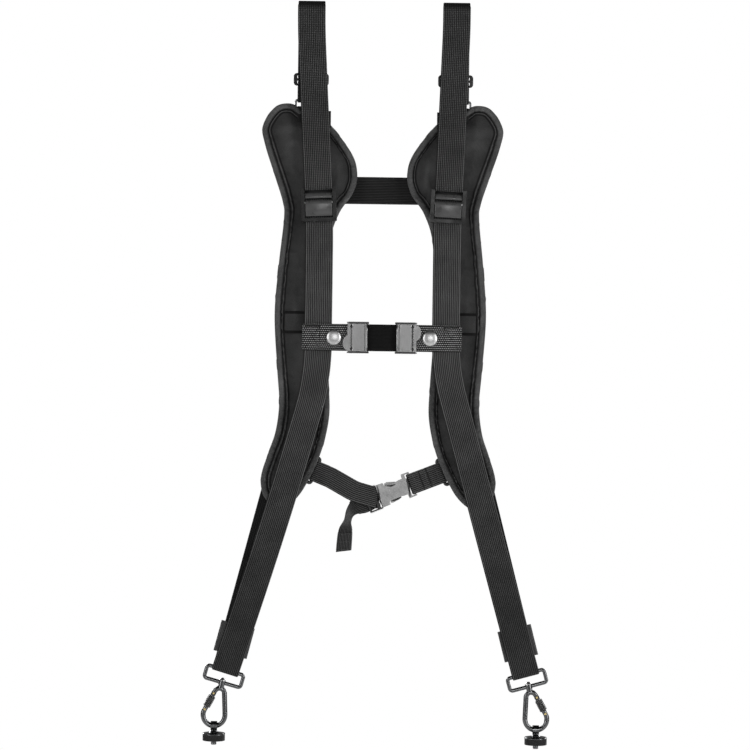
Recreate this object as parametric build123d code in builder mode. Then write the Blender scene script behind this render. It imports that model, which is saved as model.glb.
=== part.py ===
"""Double shoulder harness for two cameras or binoculars, hanging from its two top folds.

Frame: +X to the viewer's right, +Y to the back, +Z up. The origin lies between the two top folds of
the webbing. The right-hand side is modelled and mirrored in the YZ plane for the left-hand side, and
the parts on the upright stretches of webbing then move to +X by the sway of the harness.
"""
import os
from math import asin, atan2, cos, degrees, radians, sin, tan

from build123d import *

os.makedirs("parts", exist_ok=True)

# ---- driving dimensions, in millimetres and degrees ----
WEB_W, WEB_T = 32.0, 1.6            # main webbing
BELT_W, BELT_T = 25.0, 1.6          # lower strap
PLAY = 0.2                          # webbing to the bar that it wraps
RUN_FIT = 0.05                      # radial running fit of a pin in its bore

FRONT_Y = -13.0                     # middle plane of the front webbing
PAD_T, RIM_T, RIM_W = 12.0, 8.0, 8.0
PAD_BACK_Y = PAD_T / 2

TOP_X = 86.4                        # top fold
CHEST_X = 76.0                      # upright stretch that the chest strap rides on
SWAY = 2.2                          # the chest strap and both upright stretches hang this far to +X
INCLINE_TOP_Z, INCLINE_END_Z = -33.5, -265.0
RING_X, RING_Z = 178.5, -799.0      # middle of the swivel ring's top bar
LOW_LEAN = 15.5                     # lean of the swivel ring and of the right-hand lower webbing
LEFT_LOW_LEAN = 16.7                # the left-hand lower webbing hangs further in
REAR_LEAN = 14.4                    # lean of the rear webbing
HOOK_LEAN = 13.2                    # lean of the swivel axis and the carabiner

PAD_RING_WIRE = 1.3                 # radius
PAD_RING_INNER_W = 33.2
PAD_RING_TOP_Z, PAD_RING_H = -116.5, 13.0
TRI_Z, TRI_W, TRI_H, TRI_T = -92.6, 42.0, 15.0, 2.6

CAM_LOCK_Z, CAM_LOCK_W, CAM_LOCK_H = -244.0, 42.0, 39.0
CAM_RAIL_W, CAM_FRONT_Y, CAM_BACK_Y = 4.5, -20.0, -9.4
CAM_PIN_R, CAM_PIN_V, CAM_PIN_Y = 1.25, 3.0, -17.0

CHEST_Z = -401.0                    # middle of the chest strap
SNAP_X, SNAP_R = 57.2, 9.25
TAB_T = 2.0

RING_ROD = 2.3                      # radius of the swivel ring's rod
RING_W, RING_H = 45.0, 15.5         # between rod middles
HOOK_ROD = 3.0                      # radius of the carabiner's rod
HOOK_LOW_R, HOOK_TOP_R, HOOK_SPAN = 13.0, 6.0, 26.5
SWIVEL_DROP = 7.2                   # from the ring's lower bar to the carabiner's top rod

THREAD_R = 6.35 / 2                 # 1/4 inch camera thread, over its crests
DISC_R = 13.5

BUCKLE_X, BUCKLE_Z, BUCKLE_RISE = 1.9, -590.7, 22.0
BELT_BAR_R, BELT_Y = 1.5, 9.5       # bars that the lower strap wraps
LOOP_X, LOOP_Z, LOOP_RISE = 80.4, -559.4, 22.0

RING_Y = FRONT_Y + RING_ROD + PLAY + WEB_T / 2
WRAP_R = RING_ROD + PLAY + WEB_T / 2


# ---- planes ----
def front_plane(x, y, z, lean=0.0):
    """Faces the viewer. Local x goes across, local y goes up along the lean."""
    a = radians(lean)
    return Plane(origin=(x, y, z), x_dir=(cos(a), 0, sin(a)), z_dir=(0, -1, 0))


def side_plane(x, y, z, lean=0.0):
    """Cuts a strap lengthwise. Local x goes to the back, local y goes up along the lean."""
    a = radians(lean)
    return Plane(origin=(x, y, z), x_dir=(0, 1, 0), z_dir=(cos(a), 0, sin(a)))


def axis_plane(x, y, z, lean=0.0):
    """Its normal goes up along the lean. Local x goes across, local y to the back."""
    a = radians(lean)
    return Plane(origin=(x, y, z), x_dir=(cos(a), 0, sin(a)), z_dir=(-sin(a), 0, cos(a)))


def up_from(x, z, lean, distance):
    """The point that far up the lean from (x, z)."""
    a = radians(lean)
    return x - distance * sin(a), z + distance * cos(a)


def dome_middle(base_r, height):
    """Radius and height, above the base, of the point halfway up a round dome's profile."""
    ball_r = (base_r ** 2 + height ** 2) / (2 * height)
    half = asin(base_r / ball_r) / 2
    return ball_r * sin(half), height - ball_r + ball_r * cos(half)


def bent_rod(plane, points, corner_r, rod_r):
    """A closed loop of round rod with rounded corners, in the given plane."""
    with BuildPart() as bent:
        with BuildLine(plane) as path:
            FilletPolyline(*points, radius=corner_r, close=True)
        loop = path.wires()[0]
        with BuildSketch(Plane(origin=loop @ 0, z_dir=loop % 0)):
            Circle(rod_r)
        sweep(path=loop)
    return bent.part


def save(piece, name):
    piece.label = name
    export_step(piece, f"parts/{name}.step")


def both_sides(piece, sway):
    """The right-hand piece and its mirror image, both moved to +X by the sway."""
    across = Location((sway, 0, 0))
    return piece.moved(across), mirror(piece, about=Plane.YZ).moved(across)


def save_pair(piece, name, sway=0.0):
    """Writes the right-hand piece and its mirror image on the left."""
    right, left = both_sides(piece, sway)
    save(right, f"right_{name}")
    save(left, f"left_{name}")


def save_group(piece, name, sway=0.0):
    """Writes the right-hand and left-hand solids of one kind together."""
    solids = [solid for side in both_sides(piece, sway) for solid in side.solids()]
    save(Compound(children=[Solid(s.wrapped) for s in solids]), name)


# ---- shoulder pads ----
OUTER_EDGE = [(109, -122.5), (128, -126), (143.4, -149), (140.4, -172), (128.6, -208), (118.4, -240),
              (116.8, -260), (122.4, -316), (126.4, -375), (122.4, -440), (119.6, -480), (123.4, -514),
              (132.2, -541), (140.2, -570), (135, -594), (115, -605)]
INNER_EDGE = [(95, -591), (79, -563), (67, -533), (59.5, -496), (60.2, -458), (63.5, -400),
              (63, -340), (61, -285), (50.5, -252), (35, -229), (29.8, -208), (35.6, -183), (60.6, -149)]
NOTCH = [(66, -135), (105, -135)]                # clears the ring and its tab


outer_curve = Spline(*OUTER_EDGE)
inner_curve = Spline(OUTER_EDGE[-1], *INNER_EDGE)


def inset_point(curve, u):
    """The point RIM_W inside the pad's edge, at that share of the curve's length."""
    place, heading = curve @ u, curve % u
    return place.X + heading.Y * RIM_W, place.Y - heading.X * RIM_W


def slab(outer, inner, notch, thickness):
    """A slab centred on the XZ plane, between two smooth edges and a notched top."""
    with BuildPart() as blank:
        with BuildSketch(Plane.XZ.offset(-thickness / 2)):
            with BuildLine():
                Spline(*outer)
                Spline(*inner)
                Polyline(inner[-1], *notch, outer[0])
            make_face()
        extrude(amount=thickness)
    return blank.part


PANEL_STEPS = 22
bottom = inset_point(inner_curve, 0)
panel_outer = [inset_point(outer_curve, 0.02 + 0.95 * i / PANEL_STEPS) for i in range(PANEL_STEPS + 1)]
panel_inner = [inset_point(inner_curve, 0.03 + 0.97 * i / PANEL_STEPS) for i in range(PANEL_STEPS + 1)]
PANEL_NOTCH = [(74, -143), (112, -143)]

pad_envelope = slab(OUTER_EDGE, [OUTER_EDGE[-1]] + INNER_EDGE, NOTCH, RIM_T)
pad_panel = slab(panel_outer + [bottom], [bottom] + panel_inner, PANEL_NOTCH, PAD_T)
with BuildPart() as pad_rim:
    add(pad_envelope)
    add(pad_panel, mode=Mode.SUBTRACT)

save_pair(pad_panel, "shoulder_pad")
save_pair(pad_rim.part, "pad_binding")

BAND_X, BAND_Z, BAND_W, BAND_H, BAND_T = 101.0, -383.5, 25.0, 26.0, 1.4
with BuildPart() as keeper_band:
    with BuildSketch(front_plane(BAND_X, -PAD_BACK_Y, BAND_Z)):
        RectangleRounded(BAND_W, BAND_H, 1.5)
    extrude(amount=BAND_T)
save_group(keeper_band.part, "pad_keeper_bands")

# ---- ring and tab on the top of each pad ----
RING_BAR_LOW_Z = PAD_RING_TOP_Z - PAD_RING_H + PAD_RING_WIRE
pad_ring_mid = front_plane(TOP_X, 0, PAD_RING_TOP_Z - PAD_RING_H / 2)
half_w, half_h = PAD_RING_INNER_W / 2 + PAD_RING_WIRE, PAD_RING_H / 2 - PAD_RING_WIRE
pad_ring = bent_rod(pad_ring_mid, [(-half_w, -half_h), (-half_w, half_h), (half_w, half_h),
                                   (half_w, -half_h)], 2.2, PAD_RING_WIRE)
save_pair(pad_ring, "pad_ring")


TOP_TAB_T, TOP_TAB_W = 3.6, 32.0
barrel_r = PAD_RING_WIRE + PLAY + WEB_T
with BuildPart() as top_tab:
    with BuildSketch(Plane.XZ):
        with BuildLine():
            Polyline((TOP_X - TOP_TAB_W / 2, RING_BAR_LOW_Z), (TOP_X + TOP_TAB_W / 2, RING_BAR_LOW_Z),
                     (TOP_X + TOP_TAB_W / 2, -137), (TOP_X - 20, -150), (TOP_X - 24, -148),
                     (TOP_X - 22, -135), close=True)
        make_face()
    extrude(amount=TOP_TAB_T / 2, both=True)
    with BuildSketch(side_plane(TOP_X, 0, RING_BAR_LOW_Z)):
        Circle(barrel_r)
    extrude(amount=TOP_TAB_W / 2, both=True)
    with BuildSketch(side_plane(TOP_X, 0, RING_BAR_LOW_Z)):
        Circle(PAD_RING_WIRE + PLAY)
    extrude(amount=TOP_TAB_W, both=True, mode=Mode.SUBTRACT)
    add(pad_envelope, mode=Mode.SUBTRACT)
save_pair(top_tab.part, "pad_top_tab")

# ---- main webbing: top run, front run and rear run ----
RING_TOP_BAR_Z = PAD_RING_TOP_Z - PAD_RING_WIRE
RING_WRAP_R = PAD_RING_WIRE + PLAY + WEB_T / 2
TOP_RUN_Y = RING_WRAP_R                         # the top run passes behind the pad's ring
FOLD_R = (TOP_RUN_Y - FRONT_Y) / 2
FOLD_Y = (TOP_RUN_Y + FRONT_Y) / 2
FOLD_Z = -FOLD_R - WEB_T / 2
TRI_DIP = TRI_T / 2 + WEB_T / 2 + PLAY          # from the webbing to the tri-glide's middle plane
TRI_Y = TOP_RUN_Y + TRI_DIP                     # its rails lie behind the webbing, its bar before it
TRI_SLOT, TRI_SLOT_V = 3.8, 3.1                 # slot height and the slot's middle
RETURN_END_Z = TRI_Z - TRI_H / 2 - 2.0

with BuildPart() as top_run:
    with BuildSketch(side_plane(TOP_X, 0, 0)):
        with BuildLine():
            CenterArc((FOLD_Y, FOLD_Z), FOLD_R, 0, 180)
            FilletPolyline((TOP_RUN_Y, FOLD_Z), (TOP_RUN_Y, TRI_Z + TRI_SLOT_V),
                           (TRI_Y + TRI_DIP, TRI_Z + TRI_SLOT_V), (TRI_Y + TRI_DIP, TRI_Z - TRI_SLOT_V),
                           (TOP_RUN_Y, TRI_Z - TRI_SLOT_V), (TOP_RUN_Y, RING_TOP_BAR_Z), radius=0.9)
            CenterArc((0, RING_TOP_BAR_Z), RING_WRAP_R, 0, -180)
            Line((-RING_WRAP_R, RING_TOP_BAR_Z), (-RING_WRAP_R, RETURN_END_Z))
        trace(line_width=WEB_T)
    extrude(amount=WEB_W / 2, both=True)
save_pair(top_run.part, "top_webbing")

for side, label, low_lean in ((1, "right", LOW_LEAN), (-1, "left", LEFT_LOW_LEAN)):
    upright_x = side * CHEST_X + SWAY
    low_corner_z = RING_Z + (RING_X - side * upright_x) / tan(radians(low_lean))
    with BuildPart() as front_run:
        with BuildSketch(Plane.XZ.offset(-FRONT_Y)):
            with BuildLine():
                FilletPolyline((side * TOP_X, FOLD_Z), (side * TOP_X, INCLINE_TOP_Z),
                               (upright_x, INCLINE_END_Z), (upright_x, low_corner_z),
                               (side * RING_X, RING_Z), radius=[800, 1200, 260])
            trace(line_width=WEB_W)
        extrude(amount=WEB_T / 2, both=True)
    save(front_run.part, f"{label}_front_webbing")

REAR_RUN_LEN, REAR_SEWN_LEN = 205.0, 30.0
rear_y = PAD_BACK_Y + WEB_T / 2 - RING_Y        # sewn stretch, from the ring's plane
with BuildPart() as rear_run:
    with BuildSketch(side_plane(RING_X, RING_Y, RING_Z, REAR_LEAN)):
        with BuildLine():
            FilletPolyline((WRAP_R, 2), (WRAP_R, 9), (rear_y, REAR_RUN_LEN),
                           (rear_y, REAR_RUN_LEN + REAR_SEWN_LEN), radius=40)
        trace(line_width=WEB_T)
    extrude(amount=WEB_W / 2, both=True)
    with BuildSketch(side_plane(RING_X, RING_Y, RING_Z, LOW_LEAN)):
        with BuildLine():
            CenterArc((0, 0), WRAP_R, 180, 180)
            Line((WRAP_R, 0), (WRAP_R, 4))
        trace(line_width=WEB_T)
    extrude(amount=WEB_W / 2, both=True)
save_pair(rear_run.part, "rear_webbing")

# ---- tri-glide on the top run ----
with BuildPart() as tri_glide:
    with BuildSketch(front_plane(TOP_X, TRI_Y, TRI_Z)):
        RectangleRounded(TRI_W, TRI_H, 4.0)
        with GridLocations(0, 2 * TRI_SLOT_V, 1, 2):
            RectangleRounded(WEB_W + 1.6, TRI_SLOT, 1.2, mode=Mode.SUBTRACT)
    extrude(amount=TRI_T / 2, both=True)
    fillet(tri_glide.faces().sort_by(Axis.Y)[0].edges() + tri_glide.faces().sort_by(Axis.Y)[-1].edges(), 0.5)
save_pair(tri_glide.part, "tri_glide")

# ---- cam lock on the front webbing ----
top_lean = -degrees(atan2(TOP_X - CHEST_X, INCLINE_TOP_Z - INCLINE_END_Z))
cam_sway = SWAY * (INCLINE_TOP_Z - CAM_LOCK_Z) / (INCLINE_TOP_Z - INCLINE_END_Z)
cam_x = CHEST_X + (CAM_LOCK_Z - INCLINE_END_Z) * tan(radians(-top_lean))
cam_rail_x = CAM_LOCK_W / 2 - CAM_RAIL_W / 2
LIP_H, LIP_Y = 4.0, -14.6
with BuildPart() as cam_frame:
    with BuildSketch(front_plane(cam_x, CAM_BACK_Y, CAM_LOCK_Z, top_lean)):
        RectangleRounded(CAM_LOCK_W, CAM_LOCK_H, 2.5)
    extrude(amount=1.8)
    with BuildSketch(front_plane(cam_x, CAM_BACK_Y, CAM_LOCK_Z, top_lean)):
        with GridLocations(2 * cam_rail_x, 0, 2, 1):
            RectangleRounded(CAM_RAIL_W, CAM_LOCK_H, 1.5)
    extrude(amount=CAM_BACK_Y - CAM_FRONT_Y)
    with BuildSketch(front_plane(cam_x, LIP_Y, CAM_LOCK_Z, top_lean)):
        with Locations((0, -CAM_LOCK_H / 2 + LIP_H / 2)):
            Rectangle(CAM_LOCK_W - 2, LIP_H)
    extrude(amount=LIP_Y - CAM_FRONT_Y)
    with BuildSketch(side_plane(cam_x, CAM_PIN_Y, CAM_LOCK_Z, top_lean)):
        with Locations((0, CAM_PIN_V)):
            Circle(CAM_PIN_R)
    extrude(amount=CAM_LOCK_W, both=True, mode=Mode.SUBTRACT)
save_pair(cam_frame.part, "cam_lock_frame", cam_sway)

LEVER_W, LEVER_LEN, LEVER_HUB_R, LEVER_T = 31.4, 16.0, 2.7, 2.6
with BuildPart() as cam_lever:
    with BuildSketch(side_plane(cam_x, CAM_PIN_Y, CAM_LOCK_Z, top_lean)):
        with Locations((0, CAM_PIN_V)):
            Circle(LEVER_HUB_R)
        with BuildLine():
            Polyline((-LEVER_HUB_R, CAM_PIN_V), (-LEVER_HUB_R, CAM_PIN_V - LEVER_LEN),
                     (-LEVER_HUB_R + LEVER_T, CAM_PIN_V - LEVER_LEN), (0.4, CAM_PIN_V), close=True)
        make_face()
        with Locations((0, CAM_PIN_V)):
            Circle(CAM_PIN_R + RUN_FIT, mode=Mode.SUBTRACT)
    extrude(amount=LEVER_W / 2, both=True)
save_pair(cam_lever.part, "cam_lock_lever", cam_sway)

with BuildPart() as cam_pin:
    with BuildSketch(side_plane(cam_x, CAM_PIN_Y, CAM_LOCK_Z, top_lean)):
        with Locations((0, CAM_PIN_V)):
            Circle(CAM_PIN_R)
    extrude(amount=CAM_LOCK_W / 2 - 0.2, both=True)
save_group(cam_pin.part, "cam_lock_pins", cam_sway)

# ---- stopper that slides on the rear webbing ----
STOP_W, STOP_H, STOP_T, STOP_UP = 41.0, 37.0, 7.0, 37.2
rear_slope = degrees(atan2(rear_y - WRAP_R, REAR_RUN_LEN - 9))
stop_x, stop_z = up_from(RING_X, RING_Z, REAR_LEAN, STOP_UP)
stop_y = RING_Y + WRAP_R + (STOP_UP - 9) * tan(radians(rear_slope))
stop_plane = axis_plane(stop_x, stop_y, stop_z, REAR_LEAN).rotated((-rear_slope, 0, 0))
with BuildPart() as stopper:
    with BuildSketch(stop_plane):
        RectangleRounded(STOP_W, STOP_T, 2.5)
        Rectangle(WEB_W + 1.4, WEB_T + 1.0, mode=Mode.SUBTRACT)
    extrude(amount=STOP_H / 2, both=True)
save_pair(stopper.part, "rear_stopper")

# ---- swivel ring ----
ring_low_x, ring_low_z = up_from(RING_X, RING_Z, LOW_LEAN, -RING_H)
BOSS_R, BOSS_H, RIVET_R = 4.2, 5.0, 1.7
ring_rod = bent_rod(front_plane(RING_X, RING_Y, RING_Z, LOW_LEAN),
                    [(-RING_W / 2, 0), (RING_W / 2, 0), (RING_W / 2, -RING_H), (-RING_W / 2, -RING_H)],
                    3.4, RING_ROD)
with BuildPart() as swivel_ring:
    add(ring_rod)
    with BuildSketch(axis_plane(ring_low_x, RING_Y, ring_low_z, HOOK_LEAN)):
        Circle(BOSS_R)
    extrude(amount=BOSS_H / 2, both=True)
    with BuildSketch(axis_plane(ring_low_x, RING_Y, ring_low_z, HOOK_LEAN)):
        Circle(RIVET_R + RUN_FIT)
    extrude(amount=BOSS_H, both=True, mode=Mode.SUBTRACT)
save_pair(swivel_ring.part, "swivel_ring")

HEAD_R, HEAD_H, HEAD_GAP = 4.1, 3.3, 0.1
head_base = BOSS_H / 2 + HEAD_GAP
shank_end = SWIVEL_DROP - 0.6
dome_r, dome_h = dome_middle(HEAD_R, HEAD_H)
with BuildPart() as swivel_rivet:
    with BuildSketch(side_plane(ring_low_x, RING_Y, ring_low_z, HOOK_LEAN)):
        with BuildLine():
            Polyline((0, head_base + HEAD_H), (0, -shank_end), (RIVET_R, -shank_end), (RIVET_R, head_base),
                     (HEAD_R, head_base))
            ThreePointArc((HEAD_R, head_base), (dome_r, head_base + dome_h), (0, head_base + HEAD_H))
        make_face()
    revolve(axis=Axis((ring_low_x, RING_Y, ring_low_z),
                      (-sin(radians(HOOK_LEAN)), 0, cos(radians(HOOK_LEAN)))))
save_pair(swivel_rivet.part, "swivel_rivet")

# ---- carabiner ----
hook_x, hook_z = up_from(ring_low_x, ring_low_z, HOOK_LEAN, -(SWIVEL_DROP + HOOK_TOP_R + HOOK_SPAN))
flare = degrees(asin((HOOK_LOW_R - HOOK_TOP_R) / HOOK_SPAN))
gate_len = HOOK_SPAN * cos(radians(flare))
gate_lean = HOOK_LEAN + flare
HINGE_W, LATCH_W, NOSE_W = 22.6, 0.7, 3.6       # along the gate, from the lower arc's end
GATE_CUT = 0.3
PIN_R, PIN_HEAD_R, CHEEK_Y, TONGUE_T = 0.8, 1.5, 2.7, 2.0


def hook_point(angle, radius, height=0.0):
    return radius * cos(radians(angle)), height + radius * sin(radians(angle))


low_out = hook_point(flare, HOOK_LOW_R)
top_out = hook_point(flare, HOOK_TOP_R, HOOK_SPAN)
along = ((top_out[0] - low_out[0]) / gate_len, (top_out[1] - low_out[1]) / gate_len)


def on_gate(w):
    """The point that far along the gate line, in the carabiner's plane."""
    return low_out[0] + along[0] * w, low_out[1] + along[1] * w


hook_plane = front_plane(hook_x, RING_Y, hook_z, HOOK_LEAN)


def gate_plane(w, kind):
    """A plane of the given kind, that far along the gate line."""
    point = hook_plane.from_local_coords(Vector(*on_gate(w), 0))
    return kind(point.X, point.Y, point.Z, gate_lean)


with BuildPart() as hook:
    with BuildLine(hook_plane):
        Line(on_gate(HINGE_W), top_out)
        CenterArc((0, HOOK_SPAN), HOOK_TOP_R, flare, 180 - 2 * flare)
        Line(hook_point(180 - flare, HOOK_TOP_R, HOOK_SPAN), hook_point(180 - flare, HOOK_LOW_R))
        CenterArc((0, 0), HOOK_LOW_R, 180 - flare, 180 + 2 * flare)
        Line(low_out, on_gate(NOSE_W))
    with BuildSketch(gate_plane(HINGE_W, axis_plane)):
        Circle(HOOK_ROD)
    sweep()
    with BuildSketch(axis_plane(ring_low_x, RING_Y, ring_low_z, HOOK_LEAN).offset(-BOSS_H / 2 - 0.25)):
        Circle(3.6)
    extrude(amount=-SWIVEL_DROP + BOSS_H / 2 + 1.0)
    with BuildSketch(gate_plane(HINGE_W, front_plane)):
        Circle(HOOK_ROD)
    extrude(amount=CHEEK_Y, both=True)
    with BuildSketch(gate_plane(HINGE_W, front_plane)):
        with Locations((0, -1)):
            Rectangle(4 * HOOK_ROD, 7.0)
    extrude(amount=TONGUE_T / 2 + 0.1, both=True, mode=Mode.SUBTRACT)
    with BuildSketch(axis_plane(ring_low_x, RING_Y, ring_low_z, HOOK_LEAN)):
        Circle(RIVET_R)
    extrude(amount=-shank_end, mode=Mode.SUBTRACT)
    for w in (HINGE_W, LATCH_W):
        with BuildSketch(gate_plane(w, front_plane)):
            Circle(PIN_R)
        extrude(amount=2 * HOOK_ROD, both=True, mode=Mode.SUBTRACT)
        for side in (1, -1):
            with BuildSketch(gate_plane(w, front_plane).offset(side * CHEEK_Y)):
                Circle(PIN_HEAD_R)
            extrude(amount=side * HOOK_ROD, mode=Mode.SUBTRACT)
save_pair(hook.part, "carabiner_body")

with BuildPart() as gate:
    with BuildSketch(gate_plane(NOSE_W + GATE_CUT, axis_plane)):
        Circle(HOOK_ROD)
    extrude(amount=HINGE_W - NOSE_W - GATE_CUT)
    with BuildSketch(gate_plane(HINGE_W, front_plane)):
        Circle(HOOK_ROD + GATE_CUT)
    extrude(amount=2 * HOOK_ROD, both=True, mode=Mode.SUBTRACT)
    with BuildSketch(gate_plane(HINGE_W, front_plane)):
        Circle(2.0)
        with Locations((0, -2.5)):
            Rectangle(4.0, 5.0)
    extrude(amount=TONGUE_T / 2, both=True)
    with BuildSketch(gate_plane(HINGE_W, front_plane)):
        Circle(PIN_R + RUN_FIT)
    extrude(amount=2 * HOOK_ROD, both=True, mode=Mode.SUBTRACT)
save_pair(gate.part, "carabiner_gate")

with BuildPart() as gate_rivets:
    for w in (HINGE_W, LATCH_W):
        with BuildSketch(gate_plane(w, front_plane)):
            Circle(PIN_R)
        extrude(amount=CHEEK_Y, both=True)
        for side in (1, -1):
            with BuildSketch(gate_plane(w, front_plane).offset(side * CHEEK_Y)):
                Circle(PIN_HEAD_R)
            extrude(amount=side * 0.8, taper=25)
save_pair(gate_rivets.part, "gate_rivets")

SLEEVE_W, SLEEVE_LEN, SLEEVE_R = 4.6, 14.0, 4.5
with BuildPart() as sleeve:
    with BuildSketch(gate_plane(SLEEVE_W, axis_plane)):
        Circle(SLEEVE_R)
        Circle(HOOK_ROD + 0.08, mode=Mode.SUBTRACT)
    extrude(amount=SLEEVE_LEN)
    chamfer(sleeve.edges().filter_by(GeomType.CIRCLE).group_by(SortBy.RADIUS)[-1], 0.5)
save_pair(sleeve.part, "lock_sleeve")

# ---- screw-in fastener hanging in the carabiner ----
EYE_LIFT, EYE_R, EYE_HOLE_R, EYE_W = 0.27, 5.4, 3.6, 7.5
NECK_Z, FLARE_Z, DISC_LOW_Z, PAD_LOW_Z, STUD_END_Z = -4.2, -8.2, -10.2, -17.4, -22.4
THREAD_TOP_Z, THREAD_LEAD, RELIEF_R, STUD_HOLE_R = -17.6, 0.5, 2.7, 3.4
eye_z = hook_z - HOOK_LOW_R + EYE_LIFT
hang_axis = Axis((hook_x, RING_Y, eye_z), (0, 0, 1))
with BuildPart() as fastener:
    with BuildSketch(side_plane(hook_x, RING_Y, eye_z)):
        with BuildLine():
            Line((0, NECK_Z + 0.8), (3.0, NECK_Z + 0.8))
            ThreePointArc((3.0, NECK_Z + 0.8), (4.6, -6.6), (10.5, FLARE_Z))
            Polyline((10.5, FLARE_Z), (DISC_R - 0.5, FLARE_Z - 0.4), (DISC_R, FLARE_Z - 0.9),
                     (DISC_R, DISC_LOW_Z), (RELIEF_R, DISC_LOW_Z), (RELIEF_R, THREAD_TOP_Z),
                     (THREAD_R, THREAD_TOP_Z), (THREAD_R, STUD_END_Z + THREAD_LEAD),
                     (THREAD_R - THREAD_LEAD, STUD_END_Z), (0, STUD_END_Z), (0, NECK_Z + 0.8))
        make_face()
    revolve(axis=hang_axis)
    with BuildSketch(side_plane(hook_x, RING_Y, eye_z)):
        Circle(EYE_R)
    extrude(amount=EYE_W / 2, both=True)
    with BuildSketch(side_plane(hook_x, RING_Y, eye_z)):
        Circle(EYE_HOLE_R)
    extrude(amount=2 * EYE_W, both=True, mode=Mode.SUBTRACT)
save_pair(fastener.part, "fastener_body")

with BuildPart() as rubber_pad:
    with BuildSketch(Plane.XY.offset(eye_z + DISC_LOW_Z)):
        with Locations((hook_x, RING_Y)):
            Circle(DISC_R - 0.2)
            Circle(STUD_HOLE_R, mode=Mode.SUBTRACT)
    extrude(amount=PAD_LOW_Z - DISC_LOW_Z)
save_pair(rubber_pad.part, "fastener_rubber_pad")

# ---- back strap between the pads ----
BACK_STRAP_W, BACK_STRAP_T, BACK_STRAP_Z, BACK_STRAP_LEN = 32.6, 1.8, -224.5, 116.0
with BuildPart() as back_strap:
    with BuildSketch(front_plane(0, PAD_BACK_Y, BACK_STRAP_Z)):
        Rectangle(BACK_STRAP_LEN, BACK_STRAP_W)
    extrude(amount=-BACK_STRAP_T)
save(back_strap.part, "back_strap")

# ---- chest strap: tabs, snaps, cam buckles and middle webbing ----
TAB_GAP = 2.6                                    # room for the upright webbing in the tab's loop
TAB_IN_X, TAB_OUT_X = 38.4, 91.8                 # middles of the tab's two folds
tab_r = TAB_GAP / 2 + TAB_T
with BuildPart() as chest_tab:
    with BuildSketch(Plane.XY.offset(CHEST_Z - WEB_W / 2)):
        with Locations(((TAB_IN_X + TAB_OUT_X) / 2, FRONT_Y)):
            SlotCenterToCenter(TAB_OUT_X - TAB_IN_X, 2 * tab_r)
            SlotCenterToCenter(TAB_OUT_X - TAB_IN_X, TAB_GAP, mode=Mode.SUBTRACT)
    extrude(amount=WEB_W)
    with BuildSketch(front_plane(SNAP_X, FRONT_Y, CHEST_Z)):
        Circle(2.0)
    extrude(amount=2 * tab_r, both=True, mode=Mode.SUBTRACT)
save_pair(chest_tab.part, "chest_tab", SWAY)

SNAP_DOME_H, SNAP_EDGE, SNAP_POST_R, SNAP_BACK_R, SNAP_BACK_T = 4.0, 0.6, 2.0, 7.0, 1.5
cap_r, cap_h = dome_middle(SNAP_R, SNAP_DOME_H - SNAP_EDGE)
with BuildPart() as snap:
    with BuildSketch(Plane(origin=(SNAP_X, FRONT_Y, CHEST_Z), x_dir=(1, 0, 0), z_dir=(0, 0, 1))):
        with BuildLine():
            Polyline((0, -tab_r - SNAP_DOME_H), (0, tab_r + SNAP_BACK_T),
                     (SNAP_BACK_R, tab_r + SNAP_BACK_T), (SNAP_BACK_R, tab_r), (SNAP_POST_R, tab_r),
                     (SNAP_POST_R, -tab_r), (SNAP_R, -tab_r), (SNAP_R, -tab_r - SNAP_EDGE))
            ThreePointArc((SNAP_R, -tab_r - SNAP_EDGE), (cap_r, -tab_r - SNAP_EDGE - cap_h),
                          (0, -tab_r - SNAP_DOME_H))
        make_face()
    revolve(axis=Axis((SNAP_X, 0, CHEST_Z), (0, 1, 0)))
save_group(snap.part, "chest_snaps", SWAY)

PLATE_IN_X, PLATE_OUT_X, WALL_T, WALL_Z = 16.3, 41.5, 1.3, 18.3
WALL_FRONT_Y, WALL_BACK_Y, FLOOR_Y, FLOOR_T = -19.3, -11.2, -13.4, 1.2
FLAP_PIN_X, FLAP_PIN_Y, FLAP_PIN_R, FLAP_HUB_R, FLAP_T = 19.0, -17.6, 1.1, 1.9, 1.2
plate_mid_x = (PLATE_IN_X + PLATE_OUT_X) / 2
with BuildPart() as chest_buckle:
    with BuildSketch(Plane.XZ.offset(-WALL_BACK_Y)):
        with Locations((plate_mid_x, CHEST_Z)):
            with GridLocations(0, 2 * WALL_Z - WALL_T, 1, 2):
                Rectangle(PLATE_OUT_X - PLATE_IN_X, WALL_T)
    extrude(amount=WALL_BACK_Y - WALL_FRONT_Y)
    with BuildSketch(Plane.XZ.offset(-FLOOR_Y)):
        with Locations(((PLATE_IN_X + 33) / 2, CHEST_Z)):
            Rectangle(33 - PLATE_IN_X, 2 * WALL_Z - WALL_T)
    extrude(amount=-FLOOR_T)
    with BuildSketch(Plane.XY.offset(CHEST_Z - WALL_Z + WALL_T / 2)):
        with Locations((TAB_IN_X, FRONT_Y)):
            Circle(1.2)
    extrude(amount=2 * WALL_Z - WALL_T)
    with BuildSketch(Plane.XY.offset(CHEST_Z)):
        with Locations((FLAP_PIN_X, FLAP_PIN_Y)):
            Circle(FLAP_PIN_R)
    extrude(amount=2 * WALL_Z, both=True, mode=Mode.SUBTRACT)

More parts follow.
